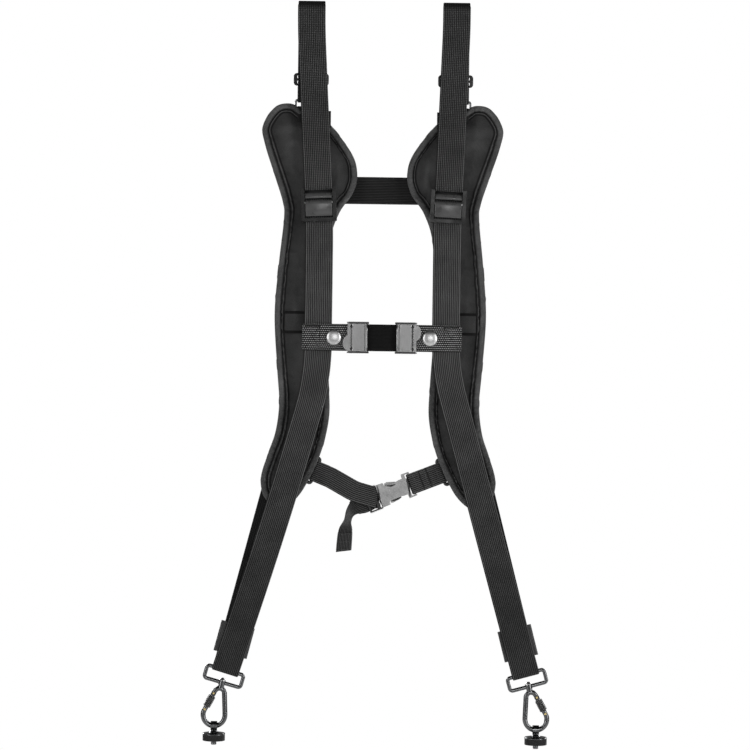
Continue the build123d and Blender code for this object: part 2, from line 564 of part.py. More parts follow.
with BuildPart() as chest_flap:
    with BuildSketch(Plane.XY.offset(CHEST_Z)):
        with Locations((FLAP_PIN_X, FLAP_PIN_Y)):
            Circle(FLAP_HUB_R)
        with Locations(((FLAP_PIN_X + 41) / 2, FLAP_PIN_Y - FLAP_HUB_R + FLAP_T / 2)):
            Rectangle(41 - FLAP_PIN_X, FLAP_T)
        with Locations((FLAP_PIN_X, FLAP_PIN_Y)):
            Circle(FLAP_PIN_R + RUN_FIT, mode=Mode.SUBTRACT)
    extrude(amount=WALL_Z - WALL_T - 0.3, both=True)
    with BuildSketch(Plane.XZ.offset(-(FLAP_PIN_Y - FLAP_HUB_R))):
        with Locations((39.0, CHEST_Z + 6.5)):
            Ellipse(7.5, 9.5)
    extrude(amount=-FLAP_T)
    with BuildSketch(Plane.XZ.offset(-(FLAP_PIN_Y - FLAP_HUB_R))):
        with Locations((36.0, CHEST_Z)):
            with GridLocations(0, 3.2, 1, 8):
                Circle(0.7)
            with GridLocations(0, 29.0, 1, 2):
                Circle(1.4)
    extrude(amount=-FLAP_T, mode=Mode.SUBTRACT)

with BuildPart() as flap_pin:
    with BuildSketch(Plane.XY.offset(CHEST_Z)):
        with Locations((FLAP_PIN_X, FLAP_PIN_Y)):
            Circle(FLAP_PIN_R)
    extrude(amount=WALL_Z, both=True)

chest_turn = Axis((0, 0, CHEST_Z), (0, 1, 0))    # the left buckle is the right one, turned over
chest_sway = Location((SWAY, 0, 0))
for piece, name in ((chest_buckle.part, "chest_buckle"), (chest_flap.part, "chest_buckle_flap")):
    save(piece.moved(chest_sway), f"right_{name}")
    save(piece.rotate(chest_turn, 180).moved(chest_sway), f"left_{name}")
save_group(flap_pin.part, "chest_buckle_pins", SWAY)

MIDDLE_Y = -14.4
with BuildPart() as chest_webbing:
    with BuildSketch(front_plane(SWAY, MIDDLE_Y, CHEST_Z)):
        Rectangle(60.0, WEB_W)
    extrude(amount=WEB_T / 2, both=True)
save(chest_webbing.part, "chest_webbing")

# ---- lower strap loops on the pads ----
loop_plane = front_plane(LOOP_X, BELT_Y, LOOP_Z, LOOP_RISE)
LOOP_BAR, LOOP_W = 5.4, 31.0                     # bars from the loop's middle, and between its side rods
BELT_PLAY = 0.3
BELT_IN_R = BELT_BAR_R + BELT_PLAY
BELT_WRAP_R = BELT_IN_R + BELT_T / 2
strap_loop = bent_rod(loop_plane, [(-LOOP_BAR, -LOOP_W / 2), (-LOOP_BAR, LOOP_W / 2),
                                   (LOOP_BAR, LOOP_W / 2), (LOOP_BAR, -LOOP_W / 2)], 2.4, BELT_BAR_R)
save_pair(strap_loop, "strap_loop")


def belt_loop(start, end_distance, direction, width):
    """A flat belt round two bars: the first at start, the second end_distance along direction."""
    section = Plane(origin=start, x_dir=direction, z_dir=direction.cross(Vector(0, 1, 0)))
    with BuildPart() as belt:
        with BuildSketch(section):
            with Locations((end_distance / 2, 0)):
                SlotCenterToCenter(end_distance, 2 * (BELT_IN_R + BELT_T))
                SlotCenterToCenter(end_distance, 2 * BELT_IN_R, mode=Mode.SUBTRACT)
        extrude(amount=width / 2, both=True)
    return belt.part


LOOP_TAB_LEN = 22.0
pad_bar = loop_plane.from_local_coords(Vector(LOOP_BAR, 0, 0))
strap_bar = loop_plane.from_local_coords(Vector(-LOOP_BAR, 0, 0))
loop_tab = belt_loop(pad_bar, LOOP_TAB_LEN, loop_plane.x_dir, BELT_W)
save_group(loop_tab, "strap_loop_tabs")

# ---- side-release buckle of the lower strap ----
BUCKLE_T, CAVITY_T, CAVITY_W = 9.0, 5.6, 24.4
BAR_S, LADDER_BAR_S, LADDER_END_S = 41.5, -5.1, -17.0
buckle_plane = front_plane(BUCKLE_X, BELT_Y, BUCKLE_Z, BUCKLE_RISE)
FEMALE_EDGE = [(0, 13.9), (9, 13.6), (10, 9.6), (24, 9.0), (28, 9.8), (32.5, 9.8), (33, 15), (37, 15)]


def mirrored_outline(edge):
    """The edge's points, then the same points on the other side of the axis."""
    return edge + [(s, -t) for s, t in reversed(edge)]


with BuildPart() as female:
    with BuildSketch(buckle_plane):
        with BuildLine():
            Polyline(*mirrored_outline(FEMALE_EDGE), close=True)
        make_face()
    extrude(amount=BUCKLE_T / 2, both=True)
    with BuildSketch(buckle_plane):
        with Locations((27.5 / 2 - 1, 0)):
            Rectangle(27.5 + 2, CAVITY_W)
    extrude(amount=CAVITY_T / 2, both=True, mode=Mode.SUBTRACT)
    with BuildSketch(buckle_plane):
        with Locations((39.5, 0)):
            with GridLocations(0, 28.4, 1, 2):
                Rectangle(7.0, 1.6)
    extrude(amount=BELT_BAR_R, both=True)
    with BuildSketch(Plane(origin=buckle_plane.from_local_coords(Vector(BAR_S, -14.6, 0)),
                           z_dir=buckle_plane.y_dir)):
        Circle(BELT_BAR_R)
    extrude(amount=29.2)
save(female.part, "buckle_female")

with BuildPart() as male:
    with BuildSketch(buckle_plane):
        with Locations((LADDER_END_S / 2 - 0.4, 0)):
            with GridLocations(0, 28.0, 1, 2):
                Rectangle(-LADDER_END_S - 0.8, 1.6)
        with Locations((LADDER_END_S + 1.2, 0)):
            Rectangle(2.4, 28.0)
        with Locations((-0.8, 0)):
            Rectangle(1.2, 28.0)
        with Locations((10.5, 0)):
            Rectangle(23, 4.0)
    extrude(amount=BELT_BAR_R, both=True)
    with BuildSketch(Plane(origin=buckle_plane.from_local_coords(Vector(LADDER_BAR_S, -14.6, 0)),
                           z_dir=buckle_plane.y_dir)):
        Circle(BELT_BAR_R)
    extrude(amount=29.2)
save(male.part, "buckle_male")

PRONG_EDGE = [(0.8, 6.0), (0.8, 8.6), (10.4, 8.6), (10.4, 12.2), (14, 12.9), (23.5, 9.8), (25.4, 7.8),
              (25, 6.0)]
for side, label in ((1, "upper"), (-1, "lower")):
    with BuildPart() as prong:
        with BuildSketch(buckle_plane):
            with BuildLine():
                Polyline(*[(s, side * t) for s, t in PRONG_EDGE], close=True)
            make_face()
        extrude(amount=CAVITY_T / 2 - 0.3, both=True)
    save(prong.part, f"buckle_prong_{label}")

# ---- lower straps ----
far_bar = buckle_plane.from_local_coords(Vector(BAR_S, 0, 0))
right_run = strap_bar - far_bar
right_strap = belt_loop(far_bar, right_run.length, right_run.normalized(), BELT_W)
save(right_strap, "right_lower_strap")

left_bar = Vector(-strap_bar.X, strap_bar.Y, strap_bar.Z)
left_rise = radians(LOOP_RISE)
left_dir = Vector(cos(left_rise), 0, -sin(left_rise))
ladder_bar = buckle_plane.from_local_coords(Vector(LADDER_BAR_S, 0, 0))
straight = left_bar + left_dir * 20
FRONT_PLY_Y, REAR_PLY_Y = BELT_Y - BELT_WRAP_R, BELT_Y + BELT_WRAP_R
LEFT_BEND = (-28.0, -585.0)
ladder_section = Plane(origin=ladder_bar, x_dir=buckle_plane.x_dir, z_dir=buckle_plane.y_dir)
left_section = Plane(origin=left_bar, x_dir=left_dir, z_dir=left_dir.cross(Vector(0, 1, 0)))
with BuildPart() as left_strap:
    with BuildSketch(Plane.XZ.offset(-FRONT_PLY_Y)):
        with BuildLine():
            FilletPolyline((left_bar.X, left_bar.Z), (straight.X, straight.Z), LEFT_BEND,
                           (ladder_bar.X + 4, ladder_bar.Z), radius=40)
        trace(line_width=BELT_W)
    extrude(amount=BELT_T / 2, both=True)
    with BuildSketch(buckle_plane):
        with Locations((LADDER_BAR_S + BELT_WRAP_R + BELT_T / 2 + 20, 0)):
            Rectangle(40, 60)
    extrude(amount=20, both=True, mode=Mode.SUBTRACT)
    with BuildSketch(ladder_section):
        with BuildLine():
            Line((-5, -BELT_WRAP_R), (0, -BELT_WRAP_R))
            CenterArc((0, 0), BELT_WRAP_R, -90, 180)
        trace(line_width=BELT_T)
    extrude(amount=BELT_W / 2, both=True)
    with BuildSketch(left_section):
        with BuildLine():
            Line((0.5, -BELT_WRAP_R), (0, -BELT_WRAP_R))
            CenterArc((0, 0), BELT_WRAP_R, -90, -180)
            Line((0, BELT_WRAP_R), (14, BELT_WRAP_R))
        trace(line_width=BELT_T)
    extrude(amount=BELT_W / 2, both=True)
save(left_strap.part, "left_lower_strap")

TAIL_PATH = [(-20, -602), (-34, -609), (-39, -631), (-38.5, -657)]
TAIL_W, HEM_LEN = 19.0, 22.0
with BuildPart() as tail:
    with BuildSketch(Plane.XZ.offset(-REAR_PLY_Y)):
        with BuildLine():
            FilletPolyline((ladder_bar.X - 1.5, ladder_bar.Z - 0.6), *TAIL_PATH, radius=12)
        trace(line_width=TAIL_W)
    extrude(amount=BELT_T / 2, both=True)
    with BuildSketch(Plane.XZ.offset(-REAR_PLY_Y)):
        with Locations((TAIL_PATH[-1][0], TAIL_PATH[-1][1] + HEM_LEN / 2)):
            Rectangle(TAIL_W + 0.8, HEM_LEN)
    extrude(amount=BELT_T, both=True)
save(tail.part, "lower_strap_tail")
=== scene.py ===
import math

import bmesh
import bpy
import numpy as np
from mathutils import Matrix, Vector, geometry


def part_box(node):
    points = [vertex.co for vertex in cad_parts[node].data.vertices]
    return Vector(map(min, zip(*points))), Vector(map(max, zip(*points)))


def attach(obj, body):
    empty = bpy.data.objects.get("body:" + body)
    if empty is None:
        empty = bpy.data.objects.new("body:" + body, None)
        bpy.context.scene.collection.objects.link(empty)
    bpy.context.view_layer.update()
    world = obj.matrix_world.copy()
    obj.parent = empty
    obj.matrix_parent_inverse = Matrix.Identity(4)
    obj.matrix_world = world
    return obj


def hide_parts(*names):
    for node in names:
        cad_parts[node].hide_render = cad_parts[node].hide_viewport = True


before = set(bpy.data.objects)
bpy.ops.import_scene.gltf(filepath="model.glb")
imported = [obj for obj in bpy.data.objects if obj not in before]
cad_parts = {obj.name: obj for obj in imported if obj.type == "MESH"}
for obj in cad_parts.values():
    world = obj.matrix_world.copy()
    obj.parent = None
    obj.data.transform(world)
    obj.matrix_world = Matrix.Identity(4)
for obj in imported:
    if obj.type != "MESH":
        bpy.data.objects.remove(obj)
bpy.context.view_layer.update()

MM = 0.001
SIDES = (("right", 1), ("left", -1))

UP, RIGHT, DEPTH, FRONTWARD = Vector((0, 0, 1)), Vector((1, 0, 0)), Vector((0, 1, 0)), Vector((0, -1, 0))

# ---- places and sizes that the CAD model states, in millimetres ----
WEB_W, WEB_T = 32.0, 1.6
BELT_W, BELT_T = 25.0, 1.6
FRONT_Y, RING_Y, PAD_BACK_Y = -13.0, -9.7, 6.0
TOP_X, CHEST_X, CHEST_Z, SWAY = 86.4, 76.0, -401.0, 2.2
RING_X, RING_Z, REAR_LEAN = 178.5, -799.0, 14.4
LOW_LEAN = {"right": 15.5, "left": 16.7}
BELT_LEAN = 22.0

# ---- straps that are seen wider than their CAD nodes ----
FRONT_W, BACK_W = 32.9, 32.6

# ---- distances from a pad's edge to its sewn groove, its piping and the ditch behind the piping ----
GROOVE, PIPING, DITCH = 8.1, 9.8, 11.7


def lean_dir(degrees):
    """Across and up directions of a piece that leans by that angle in the XZ plane."""
    a = math.radians(degrees)
    return Vector((math.cos(a), 0, math.sin(a))), Vector((-math.sin(a), 0, math.cos(a)))


# ---- meshes ----
def make_piece(name, verts, faces, material, body, slot, strap=None, smooth=True):
    """A mesh from millimetre vertices. strap holds each vertex's (across, along, 0) in millimetres."""
    mesh = bpy.data.meshes.new(name)
    mesh.from_pydata([tuple(c * MM for c in v) for v in verts], [], faces)
    mesh.validate()
    if strap is not None:
        layer = mesh.attributes.new("strap", "FLOAT_VECTOR", "POINT")
        layer.data.foreach_set("vector", np.asarray(strap, dtype=np.float32).ravel() * MM)
    bm = bmesh.new()
    bm.from_mesh(mesh)
    bmesh.ops.recalc_face_normals(bm, faces=bm.faces)
    bm.to_mesh(mesh)
    bm.free()
    mesh.polygons.foreach_set("use_smooth", [smooth] * len(mesh.polygons))
    piece = bpy.data.objects.new(name, mesh)
    bpy.context.scene.collection.objects.link(piece)
    mesh.materials.append(material)
    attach(piece, body)
    return piece


def filleted(points, radii, step=2.5, turn_step=10.0):
    """Points along straight runs joined by tangent arcs, evenly spaced on the runs."""
    pts = [Vector(p) for p in points]
    track = [pts[0]]
    for before, corner, after, r in zip(pts, pts[1:], pts[2:], radii):
        a, b = (before - corner).normalized(), (after - corner).normalized()
        turn = math.pi - a.angle(b)
        if turn < 1e-4 or r == 0:
            track.append(corner)
            continue
        cut = r * math.tan(turn / 2)
        middle = corner + (a + b).normalized() * (r / math.cos(turn / 2))
        first, last = corner + a * cut - middle, corner + b * cut - middle
        count = max(2, math.ceil(math.degrees(turn) / turn_step), math.ceil(turn * r / 6))
        for i in range(count + 1):
            w = i / count
            blend = (first * math.sin((1 - w) * turn) + last * math.sin(w * turn)) / math.sin(turn)
            track.append(middle + blend)
    track.append(pts[-1])
    dense = [track[0]]
    for a, b in zip(track, track[1:]):
        count = max(1, math.ceil((b - a).length / step))
        dense += [a.lerp(b, i / count) for i in range(1, count + 1)]
    return [p for i, p in enumerate(dense) if i == 0 or (p - dense[i - 1]).length > 1e-3]


def smooth_track(points, per_run=8):
    """A Catmull-Rom curve through points of any dimension, as a numpy array."""
    p = np.asarray(points, dtype=float)
    p = np.vstack([2 * p[0] - p[1], p, 2 * p[-1] - p[-2]])
    rows = []
    for i in range(1, len(p) - 2):
        for t in np.linspace(0, 1, per_run, endpoint=False):
            rows.append(0.5 * (2 * p[i] + (p[i + 1] - p[i - 1]) * t
                               + (2 * p[i - 1] - 5 * p[i] + 4 * p[i + 1] - p[i + 2]) * t ** 2
                               + (3 * p[i] - p[i - 1] - 3 * p[i + 1] + p[i + 2]) * t ** 3))
    return np.array(rows + [p[-2]])


def flat_across(track):
    """Width directions of a strap that never turns out of the XZ plane, pointing to +X."""
    tangents = [(b - a).normalized() for a, b in zip([track[0]] + track[:-1], track[1:] + [track[-1]])]
    known = [Vector((t.z, 0, -t.x)) if math.hypot(t.x, t.z) > 0.3 else None for t in tangents]
    last = next(k for k in known if k)
    result = []
    for k in known:
        if k:
            last = k.normalized() if k.x > 0 else -k.normalized()
        result.append(last)
    return result


def ribbon(name, track, across, width, thickness, material, body, slot, columns=14, bow=0.0, start=0.0):
    """A woven strap along the track. width may be one number or one for each station."""
    widths = width if isinstance(width, (list, np.ndarray)) else [width] * len(track)
    edge_r = thickness / 2
    verts, strap, faces = [], [], []
    ring = 2 * (columns + 1)
    along = start
    for i, (p, u) in enumerate(zip(track, across)):
        if i:
            along += (p - track[i - 1]).length
        tangent = (track[min(i + 1, len(track) - 1)] - track[max(i - 1, 0)]).normalized()
        normal = tangent.cross(u).normalized()
        half = widths[i] / 2
        for face in (1, -1):
            for j in range(columns + 1):
                share = -math.cos(math.pi * (0.04 + 0.92 * j / columns)) / math.cos(math.pi * 0.04)
                x = share * half * face
                into = max(0.0, abs(x) - (half - edge_r)) / edge_r
                h = edge_r * math.sqrt(max(0.0, 1 - into ** 2)) * face
                lift = bow * (1 - (x / half) ** 2)
                verts.append(p + u * x + normal * (h + lift))
                strap.append((x, along, 0))
    for i in range(len(track) - 1):
        for j in range(ring):
            k = (j + 1) % ring
            faces.append((i * ring + j, i * ring + k, (i + 1) * ring + k, (i + 1) * ring + j))
    faces.append(tuple(range(ring)))
    faces.append(tuple((len(track) - 1) * ring + j for j in range(ring)))
    return make_piece(name, verts, faces, material, body, slot, strap)


def stitches(name, runs, material, body, slot, pitch=3.2, length=2.3, radius=0.28):
    """Rows of short threads. Each run is a list of (point, outward normal)."""
    verts, faces = [], []
    for run in runs:
        travelled, next_at = 0.0, pitch / 2
        for (a, na), (b, _) in zip(run, run[1:]):
            span = (b - a).length
            while next_at < travelled + span:
                at = a.lerp(b, (next_at - travelled) / span)
                t = (b - a) / span
                side = t.cross(na).normalized()
                base = len(verts)
                for x, r in ((-0.5, 0.35), (-0.32, 0.9), (0, 1.1), (0.32, 0.9), (0.5, 0.35)):
                    for q in range(6):
                        c, s = math.cos(math.tau * q / 6), math.sin(math.tau * q / 6)
                        verts.append(at + t * x * length + side * c * r * radius
                                     + na * (s * r * radius + radius * 0.5 * (1 - 4 * x * x)))
                for i in range(4):
                    for q in range(6):
                        n = (q + 1) % 6
                        row = base + 6 * i
                        faces.append((row + q, row + n, row + 6 + n, row + 6 + q))
                faces += [tuple(base + q for q in range(6)), tuple(base + 24 + q for q in range(6))]
                next_at += pitch
            travelled += span
    return make_piece(name, verts, faces, material, body, slot)


def revolve(name, profile, centre, axis, material, body, slot, segments=56):
    """A turned piece from (radius, distance along the axis) pairs. The last pair lies on the axis."""
    axis = Vector(axis).normalized()
    u = axis.orthogonal().normalized()
    w = axis.cross(u)
    verts, faces = [], []
    for r, h in profile[:-1]:
        for q in range(segments):
            a = math.tau * q / segments
            verts.append(Vector(centre) + axis * h + (u * math.cos(a) + w * math.sin(a)) * r)
    verts.append(Vector(centre) + axis * profile[-1][1])
    for i in range(len(profile) - 2):
        for q in range(segments):
            n = (q + 1) % segments
            faces.append((i * segments + q, i * segments + n, (i + 1) * segments + n, (i + 1) * segments + q))
    last = (len(profile) - 2) * segments
    faces += [(last + q, last + (q + 1) % segments, len(verts) - 1) for q in range(segments)]
    faces.append(tuple(range(segments)))
    return make_piece(name, verts, faces, material, body, slot)


def prism(name, outline, length, place, material, body, slot, edge=0.5):
    """A bar whose section is the closed (depth, up) outline. It is length wide.

    place turns (across, depth, up) into a point. The section is a little smaller at both ends."""
    n = len(outline)
    shares = (-0.5, -0.5 + edge / length, 0.5 - edge / length, 0.5)
    middle = np.mean(outline, axis=0)
    verts, faces = [], []
    for row, share in enumerate(shares):
        full = row in (1, 2)
        for y, v in outline:
            away = np.array((y, v)) - middle
            size = np.linalg.norm(away)
            y2, v2 = middle + away * (1 if full else max(0.0, 1 - 0.7 * edge / size))
            verts.append(place(share * length, y2, v2))
    for row in range(3):
        for i in range(n):
            j = (i + 1) % n
            faces.append((row * n + i, row * n + j, (row + 1) * n + j, (row + 1) * n + i))
    faces += [tuple(range(n)), tuple(3 * n + i for i in range(n))]
    return make_piece(name, verts, faces, material, body, slot)


# ---- materials ----
class Nodes:
    """A material's node tree, with short calls for what these materials repeat."""

    def __init__(self, name, colour, roughness, metallic=0.0, specular=0.5):
        self.material = bpy.data.materials.new(name)
        self.material.use_nodes = True
        self.tree = self.material.node_tree
        self.shader = self.tree.nodes["Principled BSDF"]
        self.shader.inputs["Base Color"].default_value = (*colour, 1)
        self.shader.inputs["Roughness"].default_value = roughness
        self.shader.inputs["Metallic"].default_value = metallic
        self.shader.inputs["Specular IOR Level"].default_value = specular

    def add(self, kind, **settings):
        node = self.tree.nodes.new(kind)
        for key, value in settings.items():
            if key.startswith("in_"):
                key = int(key[3:]) if key[3:].isdigit() else key[3:].replace("_", " ")
                if isinstance(value, bpy.types.NodeSocket):
                    self.tree.links.new(value, node.inputs[key])
                else:
                    node.inputs[key].default_value = value
            else:
                setattr(node, key, value)
        return node

    def math(self, operation, a, b=0.0, c=None):
        extra = {} if c is None else {"in_2": c}
        return self.add("ShaderNodeMath", operation=operation, in_0=a, in_1=b, **extra).outputs[0]

    def position(self):
        return self.add("ShaderNodeTexCoord").outputs["Object"]

    def strap(self):
        vector = self.add("ShaderNodeAttribute", attribute_name="strap").outputs["Vector"]
        split = self.add("ShaderNodeSeparateXYZ", in_0=vector)
        return split.outputs[0], split.outputs[1]

    def noise(self, vector, scale, detail=3.0, rough=0.5):
        return self.add("ShaderNodeTexNoise", in_Vector=vector, in_Scale=scale, in_Detail=detail,
                        in_Roughness=rough).outputs["Fac"]

    def spread(self, value, low, high, to_low=0.0, to_high=1.0):
        return self.add("ShaderNodeMapRange", in_Value=value, in_From_Min=low, in_From_Max=high,
                        in_To_Min=to_low, in_To_Max=to_high).outputs[0]

    def ramp(self, value, dark, light):
        ramp = self.add("ShaderNodeValToRGB", in_Fac=value)
        ramp.color_ramp.elements[0].color = (*dark, 1)
        ramp.color_ramp.elements[1].color = (*light, 1)
        return ramp.outputs["Color"]

    def link(self, output, socket):
        self.tree.links.new(output, self.shader.inputs[socket])

    def bump(self, height, distance, strength=1.0, under=None):
        extra = {} if under is None else {"in_Normal": under}
        return self.add("ShaderNodeBump", in_Height=height, in_Distance=distance, in_Strength=strength,
                        **extra).outputs["Normal"]


def grey(value, tint=0.0):
    return value * (1 - tint), value, value * (1 + tint)


# Painted shade on the webbing's top fold and rear run, and darkening towards its lower end: coordinate, from,
# to, share of its tone at each
PAINTED_SHADE_AND_DARKENING = ((1, -0.009, 0.0, 1.0, 0.2), (2, -0.012, -0.005, 1.0, 0.15), (2, -0.72, -0.3, 0.38, 1.0))
KNIT_PITCH, KNURL_PITCH = 1.1, 1.3


def woven(name, dark, light, ribs, pitch, width, rib_depth=0.0003, knot_depth=0.00018, stagger=0.5,
          selvedge=1.6, grid_until=0.0, sheen=0.02, sharp=1.0, least=0.8, painted_shade_and_darkening=False):
    """Webbing: ribs run along it and each rib is a chain of knots. Up to grid_until the knots lead.

    With painted_shade_and_darkening, shade is painted on the top fold and on the rear run, and the weave is
    darker towards the lower end."""
    m = Nodes(name, grey(light), 0.8, specular=0.1)
    across, along = m.strap()
    rib = m.math("SINE", m.math("MULTIPLY", across, math.tau * ribs / (width * MM)))
    rib_index = m.math("FLOOR", m.math("MULTIPLY", across, ribs / (width * MM)))
    shift = m.math("MULTIPLY", m.math("PINGPONG", rib_index, 1.0), stagger)
    cell = m.math("FRACT", m.math("ADD", m.math("MULTIPLY", along, 1 / (pitch * MM)), shift))
    knot = m.math("SUBTRACT", 1.0, m.math("ABSOLUTE", m.math("MULTIPLY_ADD", cell, 2.0, -1.0)))
    lead = m.spread(along, grid_until, grid_until + 0.25, 0.9, 0.1) if grid_until else least
    edge = m.spread(m.math("ABSOLUTE", across), (width / 2 - 2.4) * MM, (width / 2 - 1.4) * MM)
    fuzz = m.noise(m.position(), 1700, 4)
    wear = m.noise(m.position(), 38, 4, 0.6)
    crest = m.spread(rib, -0.9, 0.9)
    relief = m.math("MULTIPLY", crest, m.math("MULTIPLY_ADD", knot, lead, m.math("SUBTRACT", 1.0, lead)))
    tone = m.math("MULTIPLY", m.math("POWER", relief, sharp), m.math("MULTIPLY_ADD", fuzz, 0.4, 0.65))
    tone = m.math("MULTIPLY", tone, m.math("MULTIPLY_ADD", wear, 1.1, 0.45))
    # painted shade: darker on the top fold and on the rear run, which turn away from the lamps; also darker
    # towards the lower end
    if painted_shade_and_darkening:
        split = m.add("ShaderNodeSeparateXYZ", in_0=m.position())
        for axis, low, high, at_low, at_high in PAINTED_SHADE_AND_DARKENING:
            tone = m.math("MULTIPLY", tone, m.spread(split.outputs[axis], low, high, at_low, at_high))
    tone = m.math("MULTIPLY", tone, m.math("MULTIPLY_ADD", edge, selvedge - 1, 1.0))
    m.link(m.ramp(tone, grey(dark), grey(light)), "Base Color")
    first = m.bump(rib, rib_depth)
    second = m.bump(m.math("MULTIPLY", knot, crest), knot_depth, under=first)
    m.link(m.bump(fuzz, 0.00003, under=second), "Normal")
    m.shader.inputs["Sheen Weight"].default_value = sheen
    m.shader.inputs["Sheen Roughness"].default_value = 0.5
    return m.material


def knit(name, dark, light, grain=1400, depth=0.0001, sheen=0.03, seam=None):
    """Stretch fabric: a fine knit, soft mottling and, with seam, painted shade that darkens towards the sewn
    groove and in the ditch beside it, and a painted highlight along the piping cord.
    """
    m = Nodes(name, grey(light), 0.85, specular=0.1)
    place = m.position()
    split = m.add("ShaderNodeSeparateXYZ", in_0=place)
    wales = m.math("SINE", m.math("MULTIPLY", split.outputs[0], math.tau / (KNIT_PITCH * MM)))
    courses = m.math("SINE", m.math("MULTIPLY", split.outputs[2], math.tau / (KNIT_PITCH * MM)))
    loops = m.math("MULTIPLY", wales, courses)
    fuzz = m.noise(place, grain, 4)
    mottle = m.noise(place, 28, 4, 0.6)
    tone = m.math("ADD", m.math("MULTIPLY", fuzz, 0.5), m.math("MULTIPLY_ADD", loops, 0.16, 0.08))
    tone = m.math("ADD", tone, m.math("MULTIPLY_ADD", mottle, 0.7, -0.25))
    if seam:
        away, _ = m.strap()
        # painted shade: the tone darkens towards the sewn groove
        tone = m.math("MULTIPLY", tone, m.spread(away, *seam))
        # painted shade in the ditch behind the piping
        from_ditch = m.math("ABSOLUTE", m.math("SUBTRACT", away, DITCH * MM))
        tone = m.math("MULTIPLY", tone, m.spread(from_ditch, 0.0005, 0.0012, 0.15, 1.0))
        # painted highlight along the raised piping cord
        from_piping = m.math("ABSOLUTE", m.math("SUBTRACT", away, PIPING * MM))
        cord_highlight = m.math("SUBTRACT", 1.0, m.spread(from_piping, 0.0003, 0.0008))
        tone = m.math("MULTIPLY_ADD", cord_highlight, 0.5, tone)
    m.link(m.ramp(tone, grey(dark), grey(light)), "Base Color")
    first = m.bump(loops, depth)
    m.link(m.bump(fuzz, depth * 1.4, under=first), "Normal")
    m.shader.inputs["Sheen Weight"].default_value = sheen
    m.shader.inputs["Sheen Roughness"].default_value = 0.45
    return m.material


def moulded(name, colour, roughness=0.45, grain=900, depth=0.00005, specular=0.5, cloud=90, swing=0.3):
    """Moulded plastic: fine spark texture and slight mottling."""
    m = Nodes(name, grey(colour), roughness, specular=specular)
    place = m.position()
    grain_map = m.noise(place, grain, 3)
    blotch = m.noise(place, cloud, 3, 0.6)
    tone = m.math("ADD", m.math("MULTIPLY", grain_map, 0.2), m.math("MULTIPLY", blotch, 0.8))
    m.link(m.ramp(tone, grey(colour * (1 - swing)), grey(colour * (1 + swing))), "Base Color")
    m.link(m.spread(blotch, 0.3, 0.7, roughness - 0.08, roughness + 0.1), "Roughness")
    m.link(m.bump(grain_map, depth), "Normal")
    return m.material


def metal_nodes(name, colour, roughness, brushed=0.0, tint=0.0, wear=0.06, hairline=0.00003):
    """Polished or brushed metal with hairlines and uneven polish."""
    m = Nodes(name, grey(colour, tint), roughness, metallic=1.0)
    place = m.position()
    stretch = m.add("ShaderNodeMapping", in_Vector=place, in_Scale=(6, 6, 0.35)).outputs[0]
    hair = m.noise(stretch, 900, 4)
    cloud = m.noise(place, 110, 4, 0.6)
    tone = m.math("ADD", m.math("MULTIPLY", hair, brushed), m.math("MULTIPLY", cloud, 1 - brushed))
    m.link(m.ramp(tone, grey(colour * 0.7, tint), grey(colour * 1.35, tint)), "Base Color")
    m.link(m.spread(cloud, 0.3, 0.7, roughness, roughness + wear), "Roughness")
    m.link(m.bump(hair, hairline + 0.00004 * brushed), "Normal")
    return m


def metal(*values, **settings):
    return metal_nodes(*values, **settings).material


def knurled(name, colour):
    """Metal with a diamond knurl."""
    m = metal_nodes(name, colour, 0.2)
    split = m.add("ShaderNodeSeparateXYZ", in_0=m.position())
    plus = m.math("ADD", split.outputs[0], split.outputs[2])
    minus = m.math("SUBTRACT", split.outputs[0], split.outputs[2])
    one = m.math("SINE", m.math("MULTIPLY", plus, math.tau / (KNURL_PITCH * MM)))
    two = m.math("SINE", m.math("MULTIPLY", minus, math.tau / (KNURL_PITCH * MM)))
    m.link(m.bump(m.math("MAXIMUM", one, two), 0.0004), "Normal")
    return m.material


# the long webbing carries painted shade on its top fold and rear run
webbing = woven("webbing", 0.006, 0.12, 15, 2.1, FRONT_W, 0.0002, 0.0001, grid_until=0.3, stagger=0.0,
                painted_shade_and_darkening=True)
tab_weave = woven("tab_webbing", 0.003, 0.7, 13, 2.5, WEB_W, 0.0004, 0.0006, selvedge=0.5, sharp=1.2,
                  least=1.0)
middle_weave = woven("middle_webbing", 0.002, 0.012, 20, 1.2, WEB_W, 0.0001, 0.00005)
belt_weave = woven("belt_webbing", 0.004, 0.085, 11, 1.6, BELT_W, 0.00018, 0.0001, least=0.15)
back_weave = woven("back_webbing", 0.004, 0.05, 17, 1.4, BACK_W, 0.00025, 0.0001)
# painted shade beside the pad's seam: the panel darker near the groove and lighter towards its crown, the rim
# darker into the groove
pad_cloth = knit("pad_cloth", 0.004, 0.09, seam=(0.0085, 0.03, 0.45, 1.2))
rim_cloth = knit("rim_cloth", 0.008, 0.17, 1100, 0.00016, seam=(0.0074, 0.0058, 0.05, 1.0))
band_cloth = knit("band_cloth", 0.004, 0.075)
patch_cloth = knit("patch_cloth", 0.004, 0.03)
thread = knit("thread", 0.002, 0.012, 2600, 0.00003)
pale_thread = knit("pale_thread", 0.04, 0.16, 2600, 0.00003)
dark_plastic = moulded("dark_plastic", 0.004, 0.25, specular=0.12, depth=0.00001)
lever_plastic = moulded("lever_plastic", 0.05, 0.3, depth=0.00002)
black_plastic = moulded("black_plastic", 0.005, 0.45)
grey_plastic = moulded("grey_plastic", 0.26, 0.32, depth=0.00001, cloud=60, swing=0.9)
soft_rubber = moulded("soft_rubber", 0.006, 0.7, 1500, 0.0001, 0.3)
gunmetal = metal("gunmetal", 0.11, 0.18, tint=0.02, hairline=0.000002)
buckle_metal = metal("buckle_metal", 0.17, 0.34, brushed=0.7)
frame_metal = metal("buckle_frame_metal", 0.035, 0.25)
